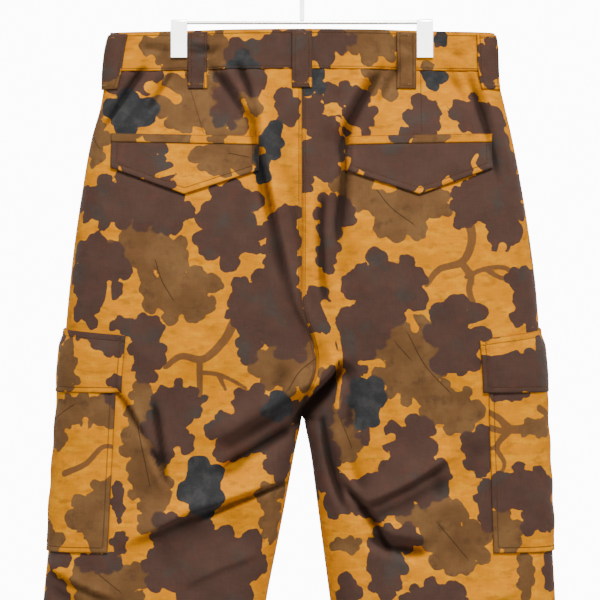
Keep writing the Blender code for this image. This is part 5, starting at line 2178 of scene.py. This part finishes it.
@dataclass
class CargoPockets(Needlework):
    """Cargo pockets over the outseams: a bag, slack in its middle, and a flap over its mouth."""

    back_reach: float = 0.082
    front_reach: float = 0.115
    overhang: float = 0.006
    flap_drop: float = 0.316
    flap_end_drop: float = 0.3835
    flap_seam: float = 0.0065
    mouth_drop: float = 0.340
    bottom_drop: float = 0.552
    slope: dict[Side, float] = field(default_factory=lambda: {LEFT: 0.085, RIGHT: 0.13})
    bag_wall: float = 0.0020
    flap_wall: float = 0.0015
    lay: float = 0.0005
    cell: float = 0.0025
    stitch_inset: float = 0.0055
    bag_relief: Relief = Relief(0.0012, 0.0022, 0.0005, 0.0014)
    flap_relief: Relief = Relief(0.0010, 0.0018, 0.0004, 0.0013)
    flap_cell: float = 0.0022
    bag_slack: tuple[float, float] = (0.0012, 0.030)
    bag_waves: tuple[float, float] = (0.0005, 0.02)
    flap_sag: tuple[float, float] = (0.0006, 0.016)
    bag_room: float = 0.0011
    climb: tuple[float, float] = (0.016, 0.004)

    def build(self) -> None:
        """Makes both pockets."""
        for side in Side:
            self.bag(side)
            self.flap(side)

    def spread(
        self, side: Side, ends: tuple[float, float], overhang: float, cell: float, rim: Chart
    ) -> tuple[float, Array, Array, Array, Array]:
        """A grid with a sloping top and a level bottom.

        Args:
            side: The leg.
            ends: The top's drop at the outseam, and the bottom's.
            overhang: How far it reaches past the bag on each side.
            cell: The spacing of its rows.
            rim: Closer lines beside its edges.

        Returns:
            Its width, distances from the outseam, drops, distances below the top and to the sides.
        """
        top, bottom = ends
        width = self.back_reach + self.front_reach + 2 * overhang
        across = spaced(width, self.cell, rim) * width
        s = np.tile(across - self.front_reach - overhang, (len(spaced(bottom - top, cell, rim)), 1))
        start = top + self.slope[side] * s
        drop = start + (bottom - start) * spaced(bottom - top, cell, rim)[:, None]
        return width, s, drop, drop - start, inside(across, width)

    def bag(self, side: Side) -> None:
        """One bag, flat on the leg, slack and puffed a little in its middle.

        Args:
            side: The leg.
        """
        ends = (self.mouth_drop, self.bottom_drop)
        width, s, drop, _, beside = self.spread(side, ends, 0.0, self.cell, (0.0004, 0.0012))
        free = np.minimum(beside, self.bottom_drop - drop)
        stitch = free - self.stitch_inset
        waves = np.sin(150 * drop + 40 * s + 1.5 * np.sin(60 * s + side))
        (slack, reach), (wave, wave_reach) = self.bag_slack, self.bag_waves
        slack = slack * ramp(stitch, reach) + wave * ramp(stitch, wave_reach) * waves
        lift = self.lay + self.bag_wall + slack - self.bag_relief.sunk(free, stitch)
        grid = ClothGrid(side, s, drop, lift, stitch, free)
        name = f"{side.word}_cargo_pocket"
        thing = self.tailor.piece(name, grid, POCKET_PRINTS[side], self.bag_wall, Cotton.LEG)
        places = np.linspace(self.stitch_inset - self.front_reach, self.back_reach - self.stitch_inset, 80)
        tops = self.mouth_drop + self.slope[side] * places[[0, -1]] + 0.002
        s, drop = round_edge(places, self.bottom_drop - self.stitch_inset, tops, 70)
        line = self.tailor.seam_line(side, s, drop, self.lay + self.bag_wall - 0.0003)
        self.tailor.stitches(name + "_stitches", [line])

    def flap(self, side: Side) -> None:
        """One flap, sewn on above the mouth and hanging over the bag.

        Args:
            side: The leg.
        """
        ends = (self.flap_drop, self.flap_end_drop)
        width, s, drop, below, beside = self.spread(side, ends, self.overhang, self.flap_cell, FOLDED)
        free = np.minimum(beside, self.flap_end_drop - drop)
        edge = np.minimum(free, below)
        hemmed = free - self.stitch_inset
        stitch = nearer(below - self.flap_seam, hemmed)
        over_bag = np.clip(0.45 + 0.55 * ramp(beside, 0.004, self.overhang), 0, 1)
        climb = (self.bag_wall + self.bag_room) * ramp(below, *self.climb) * over_bag
        sag, reach = self.flap_sag
        sag = sag * ramp(hemmed, reach) * (1 + 0.6 * np.sin(75 * s + side * 2.0))
        lift = self.lay + self.flap_wall + climb + sag - self.flap_relief.sunk(edge, stitch)
        grid = ClothGrid(side, s, drop, lift, stitch, edge)
        name = f"{side.word}_cargo_flap"
        thing = self.tailor.piece(name, grid, CARGO_FLAP_PRINTS[side], self.flap_wall, Cotton.TRIM)
        self.stitch_flap(side, name)

    def stitch_flap(self, side: Side, name: str) -> None:
        """The stitches round the flap's free edges and along its seam.

        Args:
            side: The leg.
            name: The flap's node.
        """
        margin = self.overhang - self.stitch_inset
        places = np.linspace(-self.front_reach - margin, self.back_reach + margin, 80)
        tops = self.flap_drop + self.slope[side] * places[[0, -1]] + self.flap_seam
        s, drop = round_edge(places, self.flap_end_drop - self.stitch_inset, tops, 24)
        rising = ramp(drop - self.flap_drop - self.slope[side] * s, *self.climb)
        lift = self.lay + self.flap_wall
        climb = (self.bag_wall + self.bag_room) * rising
        round_line = self.tailor.seam_line(side, s, drop, lift - 0.0003 + climb)
        s = np.linspace(places[0] - 0.003, places[-1] + 0.003, 90)
        seam = self.tailor.seam_line(side, s, self.flap_drop + self.slope[side] * s + self.flap_seam, lift)
        self.tailor.stitches(name + "_stitches", [round_line, seam])


@dataclass
class Fly(Needlework):
    """The fly placket on the left front, with its curved row of stitches."""

    width: float = 0.037
    straight_drop: float = 0.150
    end_drop: float = 0.196
    wall: float = 0.0011
    lay: float = 0.0005
    inset: float = 0.0045
    cell: float = 0.0022
    curve_turn: float = 1.39
    seam_gap: float = 0.0006
    relief: Relief = Relief(0.0008, 0.0014, 0.0003, 0.0012)
    area_share: float = 0.92

    def reach_at(self, drop: Array) -> Array:
        """How far the placket reaches from the centre seam."""
        share = np.clip((drop - self.straight_drop) / (self.end_drop - self.straight_drop), 0, 0.985)
        return self.width * np.sqrt(1 - share**2)

    def build(self) -> None:
        """Makes the placket and its stitches."""
        top = self.form.waistband_height + self.seam_gap
        curve = (self.end_drop - self.straight_drop) * np.sin(np.linspace(0, self.curve_turn, 34)[1:])
        drops = np.concatenate((np.linspace(top, self.straight_drop, 50), self.straight_drop + curve))
        shares = spaced(self.width, self.cell, FOLDED)
        reach = self.reach_at(drops)[:, None]
        x = self.seam_gap + shares * (reach - self.seam_gap)
        drop = np.broadcast_to(drops[:, None], x.shape)
        stitch = reach - x - self.inset
        edge = np.minimum(reach - x, x - self.seam_gap)
        lift = self.lay + self.wall - self.relief.sunk(edge, stitch)
        grid = ClothGrid(LEFT, -np.abs(self.at_x(LEFT, FRONT, x, drop)), drop, lift, stitch, edge)
        thing = self.tailor.piece("fly_placket", grid, FLY_PRINT, self.wall, Cotton.TRIM)
        length = self.end_drop - top
        flat, area = (self.width, round(length, 3)), self.width * length * self.area_share
        line_x = np.clip(reach[:, 0] - self.inset, 0.001, None)
        s = -np.abs(self.at_x(LEFT, FRONT, line_x, drops))
        line = self.tailor.seam_line(LEFT, s, drops, self.lay + self.wall - 0.0002)
        self.tailor.stitches("fly_stitches", [line])


@dataclass
class WaistButton(Needlework):
    """The button on the waistband's tab."""

    radius: float = 0.0085
    thread_reach: float = 0.0021
    # Shares of the radius, and heights, from the middle of its face to the middle of its back
    profile: Line = (
        (0.0, 0.0006), (0.62, 0.0006), (0.76, 0.0014), (0.90, 0.0015), (1.0, 0.0006), (0.97, -0.0008),
        (0.80, -0.0014), (0.0, -0.0014),
    )

    def build(self) -> None:
        """Turns the button's profile and sews it on."""
        low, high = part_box("waist_button")
        centre = (low + high) / 2
        shape = bmesh.new()
        verts = [shape.verts.new((share * self.radius, 0.0, z)) for share, z in self.profile]
        edges = [shape.edges.new(pair) for pair in zip(verts, verts[1:])]
        turned = {"cent": (0, 0, 0), "axis": (0, 0, 1), "angle": 2 * math.pi, "steps": 40, "use_merge": True}
        bmesh.ops.spin(shape, geom=verts + edges, **turned)
        bmesh.ops.remove_doubles(shape, verts=shape.verts, dist=1e-6)
        bmesh.ops.recalc_face_normals(shape, faces=shape.faces)
        facing = Matrix.Translation(centre) @ Matrix.Rotation(math.pi / 2, 4, "X")
        bmesh.ops.transform(shape, matrix=facing, verts=shape.verts)
        name = "waist_button_turned"
        mesh = meshed(shape, name, self.tailor.finishes.button)
        thing = finished(mesh, name, "button_plastic", "waist_button")
        modified(thing, "soften", "SUBSURF", levels=1, render_levels=1)
        self.sew(centre)

    def sew(self, centre: Vector) -> None:
        """The crossed thread over its middle.

        Args:
            centre: The button's middle.
        """
        front = centre.y - 0.0007
        steps = [share * self.thread_reach for share in (-1, 0, 1)]
        lines = [
            np.array([(centre.x + step, front, centre.z + slant * step, 0.0, -1.0, 0.0) for step in steps])
            for slant in (1, -1)
        ]
        hand_sewn = Tailor(self.form, self.tailor.finishes, 0.004, 0.0052, 0.0004)
        hand_sewn.stitches("waist_button_thread", lines)


@dataclass
class Hanger:
    """The clip hanger: bar, hook and two sprung steel clips."""

    finishes: Finishes
    bar_above_waist: float = 0.0091
    bar_radius: float = 0.0021
    wire_radius: float = 0.0026
    inside_radius: float = 0.019
    neck_radius: float = 0.015
    end_angle: float = math.radians(196)
    clip_x: float = 0.1307
    clip_width: float = 0.0172
    clip_drop: float = 0.029
    clip_wall: float = 0.0015
    clip_slack: float = 0.0009
    over_bar: float = 0.0003
    clip_edge: float = 0.0004
    lip_flare: float = 0.0012
    lip_length: float = 0.004
    bar_edge: float = 0.0006
    sharp_angle: float = math.radians(35)
    eased_angle: float = math.radians(50)

    def build(self) -> None:
        """Makes the bar, the hook and the clips."""
        self.bar_z = -FORM.hook_to_waist + self.bar_above_waist
        self.bar()
        self.hook()
        for side in Side:
            self.clip(side)

    def add(self, shape: bmesh.types.BMesh, name: str, node: str) -> Thing:
        """A smooth steel object.

        Args:
            shape: Its bmesh.
            name: Its name.
            node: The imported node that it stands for.

        Returns:
            The object.
        """
        mesh = meshed(shape, name, self.finishes.steel)
        mesh.set_sharp_from_angle(angle=self.sharp_angle)
        return finished(mesh, name, "polished_steel", node)

    def bar(self) -> None:
        """The round bar, with rounded ends."""
        shape = bmesh.new()
        bmesh.ops.create_cone(
            shape, cap_ends=True, segments=40, radius1=self.bar_radius, radius2=self.bar_radius,
            depth=2 * (self.clip_x + self.clip_width / 2 - 0.0005),
            matrix=Matrix.Translation((0, 0, self.bar_z)) @ Matrix.Rotation(math.pi / 2, 4, "Y"),
        )
        rims = [edge for edge in shape.edges if len(edge.link_faces) == 2 and edge.calc_face_angle() > 1.0]
        rounded = {"offset": self.bar_edge, "segments": 3, "profile": 0.5, "affect": "EDGES", "material": -1}
        bmesh.ops.bevel(shape, geom=rims, **rounded)
        self.add(shape, "hanger_bar_turned", "hanger_bar")

    def hook_line(self) -> list[tuple[float, float]]:
        """The wire's centre line, from the bar up and round.

        Returns:
            Its points' x and z.
        """
        radius = self.inside_radius + self.wire_radius
        centre_z = -self.inside_radius
        neck_drop = math.sqrt(radius**2 + 2 * radius * self.neck_radius)
        neck_z = centre_z - neck_drop
        meet = math.atan2(neck_drop, self.neck_radius)
        points = [(0.0, self.bar_z + self.bar_radius + self.over_bar), (0.0, (self.bar_z + neck_z) / 2)]
        for angle in np.linspace(math.pi, math.pi - meet, 12):
            x = self.neck_radius * (1 + math.cos(angle))
            points.append((x, neck_z + self.neck_radius * math.sin(angle)))
        for angle in np.linspace(-meet, self.end_angle, 56)[1:]:
            points.append((radius * math.cos(angle), centre_z + radius * math.sin(angle)))
        return points

    def hook(self) -> None:
        """The hook: a ring of wire extruded along its line."""
        points = self.hook_line()
        shape = bmesh.new()
        bmesh.ops.create_circle(shape, cap_ends=False, segments=20, radius=self.wire_radius)
        bmesh.ops.translate(shape, verts=shape.verts, vec=(points[0][0], 0, points[0][1]))
        bottom = loop = list(shape.edges)
        heading = 0.0
        for before, after, onward in zip(points, points[1:], points[2:] + points[-1:]):
            grown = bmesh.ops.extrude_edge_only(shape, edges=loop)["geom"]
            ring = [part for part in grown if isinstance(part, bmesh.types.BMVert)]
            loop = [part for part in grown if isinstance(part, bmesh.types.BMEdge)]
            bmesh.ops.translate(shape, verts=ring, vec=(after[0] - before[0], 0, after[1] - before[1]))
            turned = math.atan2(onward[0] - before[0], onward[1] - before[1])
            turn = Matrix.Rotation(turned - heading, 3, "Y")
            bmesh.ops.rotate(shape, verts=ring, cent=(after[0], 0, after[1]), matrix=turn)
            heading = turned
        for end in (loop, bottom):
            bmesh.ops.contextual_create(shape, geom=end)
        bmesh.ops.recalc_face_normals(shape, faces=shape.faces)
        self.add(shape, "hanger_hook_wire", "hanger_hook")

    def clip(self, side: Side) -> None:
        """One clip: a strip bent over the bar, its jaws flared at their lips, all edges eased.

        Args:
            side: The side of the waistband that it holds.
        """
        jaw = FORM.pinch_depth + self.clip_slack
        jaw_top = -FORM.hook_to_waist + 0.001
        jaw_end = -FORM.hook_to_waist - self.clip_drop
        bend = self.bar_radius + self.over_bar
        line = [(jaw + self.lip_flare, jaw_end), (jaw, jaw_end + self.lip_length), (jaw, jaw_top)]
        turns = np.linspace(0, math.pi / 2, 8)
        line += [(bend * math.cos(turn), self.bar_z + bend * math.sin(turn)) for turn in turns]
        line += [(-y, z) for y, z in line[-2::-1]]
        shape = bmesh.new()
        x = side * self.clip_x - self.clip_width / 2
        verts = [shape.verts.new((x, y, z)) for y, z in line]
        edges = [shape.edges.new(pair) for pair in zip(verts, verts[1:])]
        grown = bmesh.ops.extrude_edge_only(shape, edges=edges)["geom"]
        far = [part for part in grown if isinstance(part, bmesh.types.BMVert)]
        bmesh.ops.translate(shape, verts=far, vec=(self.clip_width, 0, 0))
        bmesh.ops.recalc_face_normals(shape, faces=shape.faces)
        middle = Vector((x, 0, jaw_top))
        outward = sum(face.normal.dot(face.calc_center_median() - middle) for face in shape.faces)
        if outward < 0:
            bmesh.ops.reverse_faces(shape, faces=shape.faces)
        thing = self.add(shape, f"hanger_clip_{side.word}_pressed", f"hanger_clip_{side.word}")
        modified(thing, "plate", "SOLIDIFY", thickness=self.clip_wall, offset=1.0)
        corners = {"limit_method": "ANGLE", "angle_limit": self.eased_angle}
        modified(thing, "eased", "BEVEL", width=self.clip_edge, segments=3, **corners)


@dataclass
class Studio:
    """A pale floor, a white surround, soft lights and the camera."""

    image_span: float = 0.636
    aim: tuple[float, float, float] = (0.0021, 0.010, -0.3802)
    distance: float = 2.6
    floor_z: float = -1.32
    floor_size: float = 6.0
    floor_pale: tuple[float, ...] = (0.86, 0.86, 0.85, 1.0)
    floor_bounce: tuple[float, ...] = (0.20, 0.20, 0.20, 1.0)
    lit: tuple[float, float, float] = (0.0, 0.0, -0.45)
    ambient: float = 0.15
    seen_white: float = 12.0
    mirrored_white: float = 6.0
    # Name, place, size and power on the seen side; each has a twin turned half round behind
    lamps: tuple[tuple[str, tuple[float, float, float], float, float], ...] = (
        ("key", (-0.9, 5.0, 5.4), 2.3, 700.0),
        ("fill", (2.2, 2.0, -0.5), 1.8, 11.0),
        ("side_fill", (-2.2, 2.0, -0.5), 1.8, 8.0),
    )

    def build(self) -> None:
        """Sets up the floor, the lights, the surround and the camera."""
        self.floor()
        self.lights()
        self.surround()
        self.camera()

    def floor(self) -> None:
        """A pale matt floor."""
        shape = bmesh.new()
        place = Matrix.Translation((0, 0, self.floor_z))
        bmesh.ops.create_grid(shape, x_segments=1, y_segments=1, size=self.floor_size / 2, matrix=place)
        material, sheet, shader = new_material("studio_floor")
        bounce = sheet.add("LightPath").outputs["Is Diffuse Ray"]
        colour = sheet.mix(bounce, self.floor_pale, self.floor_bounce)
        sheet.fill(shader, {"Base Color": colour, "Roughness": 0.9})
        self.stood("studio_floor", meshed(shape, "studio_floor", material))

    def lights(self) -> None:
        """A broad key high on each side of the pants, with weaker fills."""
        for way, (name, (x, y, z), size, power) in product((1, -1), self.lamps):
            data = bpy.data.lights.new(name, "AREA")
            data.size = size
            data.energy = power
            lamp = self.stood(name if way > 0 else "far_" + name, data)
            lamp.location = (x * way, y * way, z)
            lamp.rotation_euler = (Vector(self.lit) - lamp.location).to_track_quat("-Z", "Y").to_euler()

    def surround(self) -> None:
        """An even white surround, which lights the pants only a little."""
        world = bpy.data.worlds.new("studio_surround")
        world.use_nodes = True
        sheet = ShaderSheet(world.node_tree)
        path = sheet.add("LightPath").outputs
        seen = sheet.scaled(path["Is Camera Ray"], self.seen_white, self.ambient)
        mirrored = sheet.scaled(path["Is Glossy Ray"], self.mirrored_white, seen)
        sheet.fill(world.node_tree.nodes["Background"], {"Color": (1.0, 1.0, 1.0, 1.0), "Strength": mirrored})
        bpy.context.scene.world = world

    def camera(self) -> None:
        """The camera, level and square to the back."""
        data = bpy.data.cameras.new("camera")
        data.sensor_width = 36.0
        data.lens = data.sensor_width * self.distance / self.image_span
        data.clip_start, data.clip_end = 0.1, 20
        thing = self.stood("camera", data)
        thing.location = (self.aim[0], self.aim[1] + self.distance, self.aim[2])
        thing.rotation_euler = (math.pi / 2, 0, math.pi)
        bpy.context.scene.camera = thing

    @staticmethod
    def stood(name: str, data: bpy.types.ID) -> Thing:
        """An object in the scene.

        Args:
            name: Its name.
            data: Its mesh, light or camera.

        Returns:
            The object.
        """
        thing = bpy.data.objects.new(name, data)
        bpy.context.scene.collection.objects.link(thing)
        return thing


def main() -> None:
    """Builds every piece in order, then the hanger and the studio."""
    logging.basicConfig(level=logging.INFO, format="%(relativeCreated)6d ms  %(message)s")
    finishes = Finishes.made()
    tailor = Tailor(FORM, finishes)
    for work in (LegPanels, Waistband, BeltLoops, BackPockets, CargoPockets, Fly, WaistButton):
        work(tailor).build()
        logging.info("%s done", work.__name__)
    Hanger(finishes).build()
    Studio().build()


if __name__ == "__main__":
    main()
